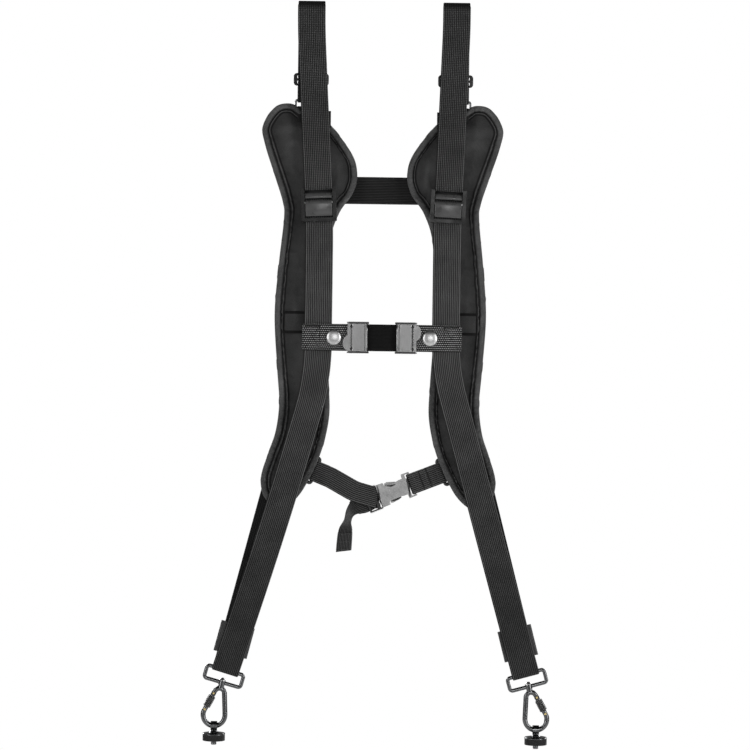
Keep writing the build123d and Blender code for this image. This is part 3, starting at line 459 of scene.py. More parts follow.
snap_metal = metal("snap_metal", 0.5, 0.36, hairline=0.000004)
steel = metal("steel", 0.5, 0.3)
knurl = knurled("knurled_metal", 0.1)
brass = metal("brass", 0.55, 0.25)
brass.node_tree.nodes["Color Ramp"].color_ramp.elements[0].color = (0.62, 0.45, 0.16, 1)
brass.node_tree.nodes["Color Ramp"].color_ramp.elements[1].color = (0.95, 0.78, 0.38, 1)


# ---- long webbing: pad ring, tri-glide, top fold, front run, swivel ring and rear run in one strap ----
RING_WRAP, FOLD_TOP, RETURN_Z, PAD_RING_Z = 2.3, -0.8, -102.1, -117.8
RING_FOLD = 3.3                     # from the swivel ring's middle to the middle of the webbing round it
TRI_LOW_Z, TRI_HIGH_Z, TRI_BACK_Y = -95.7, -89.5, 6.9
SLANT_TOP_Z, SLANT_LOW_Z = -33.5, -265               # the front run slants inward between these heights
REAR_FREE, REAR_FLAT, REAR_END = 9, 205, 235         # along the rear run, from the swivel ring
BENDS = [2.3, 2.3, 0.9, 0.9, 0.9, 0.9, 7.65, 7.65, 800, 1200, 260, 3.1, 3.1, 40, 40]
LEFT_BOW = 2.6                                       # how far the left front run bows inward


def swell(z, top, length):
    """Half a sine wave from the height top down over length, and 0 outside it."""
    return math.sin(math.pi * min(max((top - z) / length, 0), 1))


def long_webbing(side, k):
    _, up = lean_dir(LOW_LEAN[side])
    upright_x = CHEST_X + k * SWAY
    low_corner_z = RING_Z + (RING_X - upright_x) / math.tan(math.radians(LOW_LEAN[side]))
    _, rear_up = lean_dir(REAR_LEAN)
    ring = Vector((RING_X, 0, RING_Z))
    turn = ring - up * RING_FOLD
    points = [(TOP_X, -RING_WRAP, RETURN_Z), (TOP_X, -RING_WRAP, PAD_RING_Z - RING_WRAP),
              (TOP_X, RING_WRAP, PAD_RING_Z - RING_WRAP), (TOP_X, RING_WRAP, TRI_LOW_Z),
              (TOP_X, TRI_BACK_Y, TRI_LOW_Z), (TOP_X, TRI_BACK_Y, TRI_HIGH_Z), (TOP_X, RING_WRAP, TRI_HIGH_Z),
              (TOP_X, RING_WRAP, FOLD_TOP), (TOP_X, FRONT_Y, FOLD_TOP), (TOP_X, FRONT_Y, SLANT_TOP_Z),
              (upright_x, FRONT_Y, SLANT_LOW_Z), (upright_x, FRONT_Y, low_corner_z),
              (turn.x, FRONT_Y, turn.z),
              (turn.x, RING_Y + RING_FOLD, turn.z),
              Vector((0, RING_Y + RING_FOLD, 0)) + ring + rear_up * REAR_FREE,
              Vector((0, PAD_BACK_Y + WEB_T / 2, 0)) + ring + rear_up * REAR_FLAT,
              Vector((0, PAD_BACK_Y + WEB_T / 2, 0)) + ring + rear_up * REAR_END]
    track = filleted(points, BENDS)
    for p in track:
        if p.y < FRONT_Y + 0.5:
            free = swell(p.z, -470, 270) + 0.5 * swell(p.z, -50, 150)
            p.y -= free * (1.1 + 0.5 * math.sin(p.z / 31 + k))
            if k < 0:
                p.x -= LEFT_BOW * swell(p.z, -450, 345)
    across = flat_across(track)
    for p, u in zip(track, across):
        p.x *= k
        u.z *= k
    widths = [FRONT_W if p.y < FRONT_Y + 1 else WEB_W for p in track]
    strap = ribbon(f"{side}_long_webbing", track, across, widths, WEB_T, webbing, "harness", "webbing",
                   columns=18)
    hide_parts(f"{side}_top_webbing", f"{side}_front_webbing", f"{side}_rear_webbing")


for side, k in SIDES:
    long_webbing(side, k)

# ---- shoulder pads ----
PAD_EDGE = [(109, -122.5), (128, -126), (143.4, -149), (140.4, -172), (128.6, -208), (118.4, -240),
            (116.8, -260), (122.4, -316), (126.4, -375), (122.4, -440), (119.6, -480), (123.4, -514),
            (132.2, -541), (140.2, -570), (135, -594), (115, -605), (95, -591), (79, -563), (67, -533),
            (59.5, -496), (60.2, -458), (63.5, -400), (63, -340), (61, -285), (50.5, -252), (35, -229),
            (29.8, -208), (35.6, -183), (60.6, -149), (78, -135), (94, -131)]
RIM_STEPS = (0.35, 0.9, 1.8, 3.2, 5.0, 6.4, 7.2, 7.7, 8.1, 8.6, 9.1, 9.6, 10.1, 10.7, 12.0, 14.0)
GRID = 3.4
RIM_HALF, RIM_R, DIP_FROM, DIP = 4.3, 3.4, 5.6, 2.1      # the rolled rim, and its dip into the groove
SEAM_HALF, CROWN, CROWN_RUN = 2.2, 6.3, 17               # half thickness at the groove and at the crown
PUFF_FRAMES, PUFF_LIMIT = 14, 2.2


def closed_outline(points, per_run=16):
    """The pad's edge as a closed Catmull-Rom curve, clockwise or not as given."""
    loop = smooth_track([points[-2], points[-1]] + list(points) + list(points[:2]), per_run)
    return loop[2 * per_run:(len(points) + 2) * per_run]


def edge_distance(places, outline):
    """Distance of each place to the closed outline, and the arc length where it is nearest."""
    a, b = outline, np.roll(outline, -1, axis=0)
    run = b - a
    length = np.linalg.norm(run, axis=1)
    offset = np.concatenate([[0], np.cumsum(length)[:-1]])
    best, where = np.full(len(places), 1e9), np.zeros(len(places))
    for i in range(len(a)):
        t = np.clip(((places - a[i]) @ run[i]) / length[i] ** 2, 0, 1)
        d = np.linalg.norm(places - a[i] - t[:, None] * run[i], axis=1)
        closer = d < best
        best[closer], where[closer] = d[closer], offset[i] + t[closer] * length[i]
    return best, where


def smoothstep(x):
    x = np.clip(x, 0, 1)
    return x * x * (3 - 2 * x)


def gathers(d, s, height, pitch, phase, at, spread):
    """Puckers that repeat along the seam and fade away from the distance at."""
    return height * np.sin(math.tau * s / pitch + phase) * np.exp(-((d - at) / spread) ** 2)


def pad_half_thickness(d, s):
    """Half thickness at distance d from the edge and arc length s: rolled rim, sewn groove, piping, crown."""
    roll = RIM_HALF * np.sqrt(np.clip(1 - (1 - np.minimum(d / RIM_R, 1)) ** 2, 0, 1))
    rim = roll - DIP * smoothstep((d - DIP_FROM) / (GROOVE - DIP_FROM))
    piping = 1.3 * np.exp(-((d - PIPING) / 0.7) ** 2)
    panel = SEAM_HALF + (CROWN - SEAM_HALF) * smoothstep((d - GROOVE) / CROWN_RUN) ** 0.8 + piping
    rim_gathers = gathers(d, s, 0.34, 7.3, 0.8 * np.sin(s / 41), 6.2, 2.4)
    panel_gathers = gathers(d, s, 0.16, 8.9, 2, 12.5, 2.2)
    return np.where(d < GROOVE, rim + rim_gathers, panel + panel_gathers)


def inside(places, outline):
    """Even-odd test of each place against the closed outline."""
    hit = np.zeros(len(places), dtype=bool)
    for (x1, z1), (x2, z2) in zip(outline, np.roll(outline, -1, axis=0)):
        if z1 != z2:
            crosses = ((z1 > places[:, 1]) != (z2 > places[:, 1]))
            hit ^= crosses & (places[:, 0] < (x2 - x1) * (places[:, 1] - z1) / (z2 - z1) + x1)
    return hit


def inward_normals(outline, ahead):
    """Unit normals that point into the closed outline, from its direction at each point."""
    inward = np.stack([ahead[:, 1], -ahead[:, 0]], axis=1) / np.linalg.norm(ahead, axis=1)[:, None]
    return inward if inside(outline[:1] + inward[:1], outline)[0] else -inward


def pad_mesh():
    """The right-hand pad's vertices in millimetres, its triangles, edge distances and arc lengths."""
    outline = closed_outline(PAD_EDGE)
    inward = inward_normals(outline, np.roll(outline, -1, axis=0) - np.roll(outline, 1, axis=0))
    rings = []
    for d in RIM_STEPS:
        ring = outline + inward * d
        true, _ = edge_distance(ring, outline)
        rings.append(ring[true > d - 0.06])
    low, high = outline.min(axis=0), outline.max(axis=0)
    xs, zs = np.arange(low[0], high[0], GRID), np.arange(low[1], high[1], GRID)
    grid = np.array([(x + (GRID / 2 if j % 2 else 0), z) for j, z in enumerate(zs) for x in xs])
    grid = grid[inside(grid, outline)]
    grid = grid[edge_distance(grid, outline)[0] > RIM_STEPS[-1] + 0.5 * GRID]
    places = np.vstack([outline] + rings + [grid])
    flat = [Vector(p) for p in places]
    loop = list(range(len(outline)))
    verts, _, tris, *_ = geometry.delaunay_2d_cdt(flat, [], [loop], 1, 1e-4)
    places = np.array([tuple(v) for v in verts])
    d, s = edge_distance(places, outline)
    d[:len(outline)] = 0
    half = pad_half_thickness(d, s)
    front = np.stack([places[:, 0], -half, places[:, 1]], axis=1)
    keep = d > 1e-3
    index = np.full(len(places), -1)
    index[keep] = len(places) + np.arange(keep.sum())
    index[~keep] = np.nonzero(~keep)[0]
    back = np.stack([places[:, 0], half, places[:, 1]], axis=1)[keep]
    faces = [tuple(t) for t in tris] + [tuple(int(index[v]) for v in reversed(t)) for t in tris]
    both_d, both_s = np.concatenate([d, d[keep]]), np.concatenate([s, s[keep]])
    return np.vstack([front, back]), faces, both_d, both_s, outline


def puff(verts, faces, d):
    """Cloth under pressure, cut a little too large and held at its seams, so that it wrinkles."""
    mesh = bpy.data.meshes.new("puff")
    mesh.from_pydata([tuple(v * MM) for v in verts], [], faces)
    cloth_piece = bpy.data.objects.new("puff", mesh)
    bpy.context.scene.collection.objects.link(cloth_piece)
    held = cloth_piece.vertex_groups.new(name="held")
    for i, distance in enumerate(d):
        if distance < 0.5 or abs(distance - GROOVE) < 0.6:
            held.add([i], 1.0, "REPLACE")
        else:
            held.add([i], 0.12 if distance < GROOVE + 3 else 0.02, "REPLACE")
    cloth = cloth_piece.modifiers.new("Cloth", "CLOTH")
    cloth.settings.use_pressure = True
    cloth.settings.uniform_pressure_force = 2.0
    cloth.settings.effector_weights.gravity = 0
    cloth.settings.vertex_group_mass = "held"
    cloth.settings.shrink_min = -0.035
    cloth.settings.tension_stiffness = 25
    cloth.settings.compression_stiffness = 25
    cloth.settings.bending_stiffness = 0.4
    cloth.settings.quality = 4
    cloth.collision_settings.use_collision = False
    for number in range(1, PUFF_FRAMES + 1):
        bpy.context.scene.frame_set(number)
    shaped = cloth_piece.evaluated_get(bpy.context.evaluated_depsgraph_get())
    moved = np.array([tuple(v.co) for v in shaped.to_mesh().vertices]) / MM
    bpy.context.scene.frame_set(1)
    bpy.data.objects.remove(cloth_piece)
    step = moved - verts
    size = np.linalg.norm(step, axis=1)[:, None]
    step *= np.minimum(1, PUFF_LIMIT / np.maximum(size, 1e-6))
    return verts + step


pad_verts, pad_faces, pad_d, pad_s, pad_outline = pad_mesh()
pad_verts = puff(pad_verts, pad_faces, pad_d)


def pad_side(side, k):
    verts = pad_verts * (k, 1, 1)
    seam_d = GROOVE - 0.3
    panel = [f for f in pad_faces if min(pad_d[v] for v in f) > seam_d]
    rim = [f for f in pad_faces if min(pad_d[v] for v in f) <= seam_d]
    for name, faces, material, slot, node in (("pad_panel", panel, pad_cloth, "pad_fabric", "shoulder_pad"),
                                              ("pad_rim", rim, rim_cloth, "binding", "pad_binding")):
        used = sorted({v for f in faces for v in f})
        number = {v: i for i, v in enumerate(used)}
        strap = [(pad_d[v], pad_s[v], 0) for v in used]
        piece = make_piece(f"{side}_{name}", [verts[v] for v in used],
                           [tuple(number[v] for v in f) for f in faces], material, "harness", slot, strap)
        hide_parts(f"{side}_{node}")
    seam = pad_outline + inward_normals(pad_outline, pad_outline - np.roll(pad_outline, 1, axis=0)) * GROOVE
    runs = []
    for face in (-1, 1):
        run = [(Vector((k * x, face * 2.35, z)), Vector((0, face, 0))) for x, z in seam]
        runs.append(run + run[:1])
    stitches(f"{side}_pad_stitches", runs, thread, "harness", "binding", pitch=3.4, length=2.4, radius=0.3)


for side, k in SIDES:
    pad_side(side, k)

# ---- back strap, chest tabs and chest webbing ----
back_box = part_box("back_strap")
back_mid = [(a + b) / 2 / MM for a, b in zip(*back_box)]
back_half = (back_box[1][0] - back_box[0][0]) / 2 / MM
track = [Vector((x, back_mid[1] + 0.5 * math.sin(x / 9) * math.exp(-(x / 22) ** 2), back_mid[2]))
         for x in np.linspace(-back_half, back_half, 70)]
strap = ribbon("back_webbing", track, [UP] * len(track), BACK_W, 1.8, back_weave, "harness", "webbing")
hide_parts("back_strap")

TAB_IN_X, TAB_OUT_X, TAB_JOIN_X, TAB_REAR_Y, TAB_FRONT_Y, TAB_R = 36.1, 94.1, 60, -10.7, -15.3, 2.3
ROUND_FROM, ROUND_LENGTH, ROUND_LOSS = 90.4, 6, 9        # the tab's rounded outer end
SEWN_IN_X, SEWN_OUT_X, SEWN_CORNER_X, SEWN_Z, SEWN_CORNER_Z, SEWN_Y = 74, 91, 92.5, 13, 11, -16.35
for side, k in SIDES:
    points = [(TAB_JOIN_X, TAB_REAR_Y), (TAB_IN_X, TAB_REAR_Y), (TAB_IN_X, TAB_FRONT_Y),
              (TAB_OUT_X, TAB_FRONT_Y), (TAB_OUT_X, TAB_REAR_Y), (TAB_JOIN_X + 1, TAB_REAR_Y)]
    track = filleted([(x, y, CHEST_Z) for x, y in points], [TAB_R] * 4, 1.5)
    for p in track:
        p.x = k * p.x + SWAY
    past = [min(max((abs(p.x - SWAY) - ROUND_FROM) / ROUND_LENGTH, 0), 1) for p in track]
    widths = [WEB_W - ROUND_LOSS * (1 - math.sqrt(1 - q * q)) for q in past]
    low_in, low_out = (SEWN_IN_X, -SEWN_Z), (SEWN_OUT_X, -SEWN_Z)
    high_in, high_out = (SEWN_IN_X, SEWN_Z), (SEWN_OUT_X, SEWN_Z)
    box = [low_in, low_out, (SEWN_CORNER_X, -SEWN_CORNER_Z), (SEWN_CORNER_X, SEWN_CORNER_Z), high_out,
           high_in, low_in, high_out, high_in, low_out]
    sewn = [(Vector((k * x + SWAY, SEWN_Y, CHEST_Z + z)), FRONTWARD) for x, z in box]
    stitches(f"{side}_chest_tab_stitches", [sewn], thread, "chest_strap", "webbing", 2.6, 2.0, 0.3)
    strap = ribbon(f"{side}_chest_tab_webbing", track, [UP] * len(track), widths, 2.0, tab_weave,
                   "chest_strap", "webbing", columns=18)
    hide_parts(f"{side}_chest_tab")

chest_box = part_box("chest_webbing")
chest_y = (chest_box[0][1] + chest_box[1][1]) / 2 / MM
track = [Vector((x, chest_y, CHEST_Z))
         for x in np.linspace(chest_box[0][0] / MM, chest_box[1][0] / MM, 40)]
strap = ribbon("chest_middle_webbing", track, [UP] * len(track), WEB_W, WEB_T, middle_weave, "chest_strap",
               "belt")
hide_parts("chest_webbing")

# ---- lower straps ----
BELT_Y, WRAP = 9.5, 2.6
along_belt, _ = lean_dir(BELT_LEAN)
right_bar, far_bar = Vector((75.39, BELT_Y, -561.42)), Vector((40.38, BELT_Y, -575.15))
left_bar, ladder_bar = Vector((-75.39, BELT_Y, -561.42)), Vector((-2.83, BELT_Y, -592.61))
THREAD_Y = 6.05                     # the middle of the stitches on a belt's front ply


def belt_round(name, a, b, replaced, body="harness"):
    """A belt round two bars, its ends meeting on the rear ply."""
    d = (b - a).normalized()
    mid = (a + b) / 2 + DEPTH * WRAP
    corners = [mid, a - d * WRAP + DEPTH * WRAP, a - d * WRAP - DEPTH * WRAP, b + d * WRAP - DEPTH * WRAP,
               b + d * WRAP + DEPTH * WRAP, mid + d]
    track = filleted(corners, [WRAP] * 4, 1.6, 15)
    across = Vector((-d.z, 0, d.x))
    piece = ribbon(name, track, [across] * len(track), BELT_W, BELT_T, belt_weave, body, "belt")
    if replaced:
        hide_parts(replaced)
    return piece


def sewn_rows(name, a, b, offsets, y, ends=()):
    """Stitch rows on a belt's front face from a to b, and rows straight across at the given shares."""
    d = (b - a).normalized()
    across = Vector((-d.z, 0, d.x))
    lift = DEPTH * (y - BELT_Y)
    runs = [[(a + across * o + lift, FRONTWARD), (b + across * o + lift, FRONTWARD)] for o in offsets]
    for share in ends:
        at = a.lerp(b, share) + lift
        runs.append([(at - across * 10, FRONTWARD), (at + across * 10, FRONTWARD)])
    stitches(name, runs, pale_thread, "harness", "belt", 2.6, 2.0, 0.26)


belt_round("right_lower_belt", far_bar, right_bar, "right_lower_strap")
for n, share in enumerate((0.33, 0.58)):
    at = far_bar.lerp(right_bar, share) - DEPTH * (WRAP + 0.9)
    d = (right_bar - far_bar).normalized()
    tack = [at + Vector((-d.z, 0, d.x)) * v for v in np.linspace(-11.8, 11.8, 7)]
    ribbon(f"right_belt_tack_{n}", tack, [d] * 7, 1.7, 0.5, patch_cloth, "harness", "belt", 4)
sewn_rows("right_lower_belt_stitches", far_bar, right_bar, (-10.2, -8.2, 8.2, 10.2), THREAD_Y,
          (0.12, 0.5, 0.88))
for side, k in SIDES:
    pad_bar = Vector((85.41 * k, BELT_Y, -557.38))
    tab_end = pad_bar + Vector((22 * along_belt.x * k, 0, 22 * along_belt.z))
    piece = belt_round(f"{side}_loop_tab_belt", pad_bar, tab_end, None)
    sewn_rows(f"{side}_loop_tab_stitches", pad_bar, tab_end, (-10.2, 0, 10.2), THREAD_Y, (0.25, 0.8))
    if k == 1:
        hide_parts("strap_loop_tabs")

run_out = Vector((math.cos(math.radians(BELT_LEAN)), 0, -math.sin(math.radians(BELT_LEAN))))
front, rear = BELT_Y - WRAP, BELT_Y + WRAP
straight = left_bar + run_out * 20
points = [left_bar + run_out * 14 + DEPTH * WRAP, left_bar - run_out * WRAP + DEPTH * WRAP,
          left_bar - run_out * WRAP - DEPTH * WRAP, Vector((straight.x, front, straight.z)),
          (-28, front, -585),
          (ladder_bar.x + WRAP, front, ladder_bar.z), (ladder_bar.x + WRAP, rear, ladder_bar.z),
          (ladder_bar.x - 4, rear, ladder_bar.z - 0.6)]
track = filleted(points, [WRAP, WRAP, 40, 40, WRAP, WRAP], 1.6, 12)
strap = ribbon("left_lower_belt", track, flat_across(track), BELT_W, BELT_T, belt_weave, "harness", "belt")
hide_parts("left_lower_strap")

# x, y, z, direction of the width in the XZ plane and its turn out of that plane, in degrees
TAIL = [(-4, 12.3, -593, 95, 0), (-14, 12.8, -597.5, 105, 8), (-25, 13.4, -603, 125, 34),
        (-33, 14.0, -611, 150, 62), (-36.0, 14.0, -621, 172, 68), (-38.3, 13.6, -631, 182, 44),
        (-39.4, 13.0, -644, 186, 36), (-40.2, 12.6, -657, 190, 34)]
NARROW_BELOW_Z, HEM_TOP_Z, HEM_FORWARD = -606, -633, 1.75
tail_rows = smooth_track(TAIL, 7)
tail_track = [Vector(r[:3]) for r in tail_rows]
tail_across = []
for row in tail_rows:
    a, roll = math.radians(row[3]), math.radians(row[4])
    tail_across.append(Vector((math.cos(a) * math.cos(roll), math.sin(roll), math.sin(a) * math.cos(roll))))
tail_width = [BELT_W * (0.9 if r[2] < NARROW_BELOW_Z else 1.0) for r in tail_rows]
strap = ribbon("lower_tail_belt", tail_track, tail_across, tail_width, BELT_T, belt_weave, "harness", "belt")
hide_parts("lower_strap_tail")
hem = [i for i, p in enumerate(tail_track) if p.z < HEM_TOP_Z]
hem_track = [tail_track[i] - DEPTH * HEM_FORWARD for i in hem]
ribbon("lower_tail_hem", hem_track, [tail_across[i] for i in hem], BELT_W * 0.92, BELT_T, belt_weave,
       "harness", "belt")
hem_rows = []
for i in (1, len(hem) // 2, len(hem) - 2):
    middle, u = hem_track[i], tail_across[hem[i]]
    out = u.cross(hem_track[-1] - hem_track[0]).normalized()
    out = out if out.y < 0 else -out
    hem_rows.append([(middle - u * 9 + out * 0.9, out), (middle + u * 9 + out * 0.9, out)])
stitches("lower_tail_stitches", hem_rows, pale_thread, "harness", "belt", 2.4, 1.9, 0.26)


# ---- black strips painted as the shade in the side-release buckle's gaps ----
# from (x, z), to (x, z), width
gap_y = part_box("buckle_female")[0][1] / MM - 0.1
GAP_SHADES = [((20.8, -575.6), (10.0, -577.6), 2.2), ((28.4, -590.6), (16.4, -595.4), 2.4),
        ((-1.3, -577.4), (3.0, -601.6), 1.8), ((33.6, -568.4), (38.6, -590.6), 2.6)]
for n, ((x1, z1), (x2, z2), wide) in enumerate(GAP_SHADES):
    a, b = Vector((x1, gap_y, z1)), Vector((x2, gap_y, z2))
    d = (b - a).normalized()
    across = Vector((-d.z, 0, d.x))
    shares = np.linspace(0, 1, 9)
    gap_track = [a.lerp(b, t) + across * 0.9 * math.sin(math.pi * t) for t in shares]
    gap_widths = [wide * (0.35 + 0.65 * math.sin(math.pi * t)) for t in shares]
    # each strip is painted shade, not a part of the buckle
    ribbon(f"buckle_gap_shade_{n}", gap_track, [across] * len(shares), gap_widths, 0.4, black_plastic, "harness",
           "dark_plastic", 4)

# ---- pad details: keeper bands with painted shade at their folds, top tabs ----
BAND_X, BAND_LENGTH, BAND_Y, BAND_Z, BAND_W, BAND_BULGE = 88, 26, -5.9, -383.5, 26.0, 0.9
SHADE_FORWARD, FOLD_Z = 0.75, 11.6
for side, k in SIDES:
    track = [Vector((k * x, BAND_Y - BAND_BULGE * math.sin(math.pi * (x - BAND_X) / BAND_LENGTH), BAND_Z))
             for x in np.linspace(BAND_X, BAND_X + BAND_LENGTH, 14)]
    ribbon(f"{side}_keeper_band", track, [UP] * len(track), BAND_W, 1.4, band_cloth, "harness", "binding")
    # dark strips painted as the shade along each band's top and bottom folds
    for n, z in enumerate((FOLD_Z, -FOLD_Z)):
        shade_strip = [p + Vector((0, -SHADE_FORWARD, z)) for p in track]
        ribbon(f"{side}_keeper_fold_shade_{n}", shade_strip, [UP] * len(shade_strip), 3.2, 0.5, thread, "harness", "binding", 4)
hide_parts("pad_keeper_bands")

TAB_BARREL, TAB_SEWN_Y, TAB_FOOT_Z, TAB_SPREAD_Z = 2.3, 3.2, -150, -136
for side, k in SIDES:
    ring_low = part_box(f"{side}_pad_ring")[0][2] / MM + 1.3
    rise = [(TOP_X, TAB_SEWN_Y, TAB_FOOT_Z), (TOP_X, TAB_SEWN_Y, TAB_SPREAD_Z),
            (TOP_X, TAB_BARREL, ring_low - 2), (TOP_X, TAB_BARREL, ring_low + TAB_BARREL)]
    points = rise + [(x, -y, z) for x, y, z in reversed(rise)]
    track = filleted(points, [4, 4, TAB_BARREL, TAB_BARREL, 4, 4], 1.4)
    for p in track:
        p.x *= k
    strap = ribbon(f"{side}_pad_top_strap", track, [RIGHT] * len(track), WEB_W, WEB_T, patch_cloth, "harness",
                   "pad_fabric")
    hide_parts(f"{side}_pad_top_tab")

# ---- small dark tab sewn to the inner edge of each pad's top ----
EDGE_TAB_X, EDGE_TAB_TOP_Z, EDGE_TAB_LOW_Z, EDGE_TAB_W = 65.5, -131, -151, 4.4
for side, k in SIDES:
    track = [Vector((k * EDGE_TAB_X + 1.2, -5.2 - 0.02 * (z + 124), z))
             for z in np.linspace(EDGE_TAB_TOP_Z, EDGE_TAB_LOW_Z, 12)]
    ribbon(f"{side}_pad_edge_tab", track, [RIGHT] * len(track), EDGE_TAB_W, 1.6, patch_cloth, "harness",
           "binding")

# ---- cam locks: curved lever, bridge above it and a black plate painted as the shade in the recess behind them ----
CAM_AT, CAM_LEAN, CAM_SWAY = Vector((76.943, 0, -244.0)), -2.572, 2.0
LEVER_W, BRIDGE_W, RECESS_SHADE_W = 31.6, 32.6, 33.0
LEVER_FACE = [(-20.0, 5.4), (-20.7, 3.5), (-21.0, 0.5), (-20.9, -3), (-20.4, -7), (-19.7, -10.5),
              (-19.5, -12.6), (-18.9, -13.4), (-17.6, -13.0), (-17.4, -9), (-16.4, -3), (-14.6, 1.2),
              (-14.4, 3.6), (-16.2, 5.4)]
BRIDGE = [(-19.2, 8.1), (-18.9, 10.5), (-18.2, 13.2), (-17.2, 14.8), (-16.2, 14.0), (-16.5, 8.1)]
RECESS_SHADE = [(-14.9, 7.4), (-15.2, 17.4), (-14.4, 17.9), (-14.0, 7.4)]


def cam_place(k):
    """A function that turns (across, depth, up) on one side's cam lock into a point."""
    across, up = lean_dir(CAM_LEAN)

    def place(u, y, v):
        p = CAM_AT + across * u + up * v
        return Vector((k * p.x + CAM_SWAY, y, p.z))
    return place


for side, k in SIDES:
    place = cam_place(k)
    lever = prism(f"{side}_lever_face", LEVER_FACE, LEVER_W, place, lever_plastic, f"{side}_cam_lever",
                  "dark_plastic", 0.8)
    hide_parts(f"{side}_cam_lock_lever")
    prism(f"{side}_cam_bridge", BRIDGE, BRIDGE_W, place, lever_plastic, "harness", "dark_plastic", 0.6)
    # black plate painted as the shade inside the open frame above the lever
    prism(f"{side}_cam_recess_shade", RECESS_SHADE, RECESS_SHADE_W, place, black_plastic, "harness", "dark_plastic", 0.4)

# ---- snap fasteners: domed caps with a rolled rim ----
SNAP_X, CAP_Y, CAP_R, RIM_TOP, SNAP_BACK_Y = 57.2, -16.3, 9.1, 0.85, -9.7
cap_h = CAP_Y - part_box("chest_snaps")[0][1] / MM
CAP = [(CAP_R, -0.4), (9.3, 0.1), (9.3, 0.5), (9.15, 0.8)]
CAP += [(CAP_R * math.cos(a), RIM_TOP + (cap_h - RIM_TOP) * math.sin(a)) for a in np.linspace(0.1, 1.5, 14)]
CAP += [(0.0, cap_h)]
BACK_CAP = [(6.2, -0.5), (6.2, 0.8), (5.8, 1.3), (4.4, 1.5), (3.6, 1.2), (2.2, 1.1), (0.0, 1.1)]
for side, k in SIDES:
    at = (k * SNAP_X + SWAY, CAP_Y, CHEST_Z)
    cap = revolve(f"{side}_snap_cap", CAP, at, FRONTWARD, snap_metal, "chest_strap", "bright_steel")
    if k == 1:
        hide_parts("chest_snaps")
    revolve(f"{side}_snap_back", BACK_CAP, (at[0], SNAP_BACK_Y, CHEST_Z), DEPTH, snap_metal, "chest_strap",
            "bright_steel")

# ---- chest buckles: painted shade in the toothed slot and its end holes, the side walls, and the two folded steps as a painted highlight line and a painted shade line ----
TEETH_X, TEETH_Z, HOLE_Z, WALL_Z, STEP_Z = 36.5, 11.5, 13.2, 17.5, 15.6
WALL_IN_X, WALL_OUT_X = 15.5, 39.5
# first step: a painted highlight line in steel; second: a painted shade line in dark metal
STEP_HIGHLIGHT_AND_SHADE = ((17.9, steel), (20.4, frame_metal))
HOLE = [(1.6, 0.0), (1.6, 0.12), (0.0, 0.13)]
for side, k in SIDES:
    face_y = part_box(f"{side}_chest_buckle_flap")[0][1] / MM - 0.06
    body = f"{side}_chest_flap"
    # black zigzag painted as the shade inside the toothed slot
    slot_shade = [Vector((k * TEETH_X + SWAY + 0.8 * (-1) ** i, face_y, CHEST_Z + z))
             for i, z in enumerate(np.linspace(-TEETH_Z, TEETH_Z, 15))]
    ribbon(f"{side}_flap_slot_shade", slot_shade, [RIGHT] * len(slot_shade), 1.2, 0.3, black_plastic, body, "grey_metal", 4)
    # black discs painted as the shade inside the slot's end holes
    for n, z in enumerate((-HOLE_Z, HOLE_Z)):
        revolve(f"{side}_flap_hole_shade_{n}", HOLE, (k * TEETH_X + SWAY, face_y, CHEST_Z + z), FRONTWARD,
                black_plastic, body, "grey_metal", 24)
    for n, z in enumerate((-WALL_Z, WALL_Z)):
        wall = [Vector((k * x + SWAY, face_y, CHEST_Z + z)) for x in np.linspace(WALL_IN_X, WALL_OUT_X, 6)]
        ribbon(f"{side}_buckle_wall_{n}", wall, [UP] * len(wall), 2.2, 0.5, black_plastic, "chest_strap",
               "grey_metal", 4)
    for n, (x, tone) in enumerate(STEP_HIGHLIGHT_AND_SHADE):
        step = [Vector((k * x + SWAY, face_y, CHEST_Z + z)) for z in np.linspace(-STEP_Z, STEP_Z, 6)]
        ribbon(f"{side}_flap_step_shading_{n}", step, [RIGHT] * len(step), 0.6, 0.5, tone, body, "grey_metal", 4)

# ---- screw threads on the fasteners' studs ----
THREAD_PITCH, CORE_R, CREST_R = 1.27, 3.2, 3.42
THREAD = [(CORE_R, -4.2)]
for i in range(3):
    root = -4.0 + THREAD_PITCH * i
    THREAD += [(CORE_R, root), (CREST_R, root + 0.3), (CORE_R, root + 0.6), (CORE_R - 0.02, root + 1.0)]
THREAD += [(3.1, -0.02), (0.0, -0.01)]
for side, k in SIDES:
    low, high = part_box(f"{side}_fastener_body")
    x, y = ((low[i] + high[i]) / 2 / MM for i in (0, 1))
    revolve(f"{side}_stud_thread", THREAD, (x, y, low[2] / MM), -UP, gunmetal, f"{side}_fastener", "gunmetal")

# ---- CAD nodes that stay: rounded edges and their own materials ----
FINISH = {"pad_ring": (gunmetal, 0), "tri_glide": (dark_plastic, 0.4), "cam_lock_frame": (dark_plastic, 0.7),
          "rear_stopper": (black_plastic, 0.6), "swivel_ring": (gunmetal, 0.2),
          "swivel_rivet": (steel, 0), "carabiner_body": (gunmetal, 0.15), "carabiner_gate": (gunmetal, 0.15),
          "gate_rivets": (brass, 0.15), "lock_sleeve": (knurl, 0.2), "fastener_body": (gunmetal, 0.3),
          "fastener_rubber_pad": (soft_rubber, 0.5), "chest_buckle": (black_plastic, 0.35),
          "chest_buckle_flap": (buckle_metal, 0.25), "strap_loop": (black_plastic, 0.2)}
SHARED = {"buckle_female": (grey_plastic, 0.6), "buckle_male": (black_plastic, 0.4),
          "buckle_prong_upper": (grey_plastic, 0.4), "buckle_prong_lower": (grey_plastic, 0.4),
          "cam_lock_pins": (steel, 0.1), "chest_buckle_pins": (steel, 0.1)}


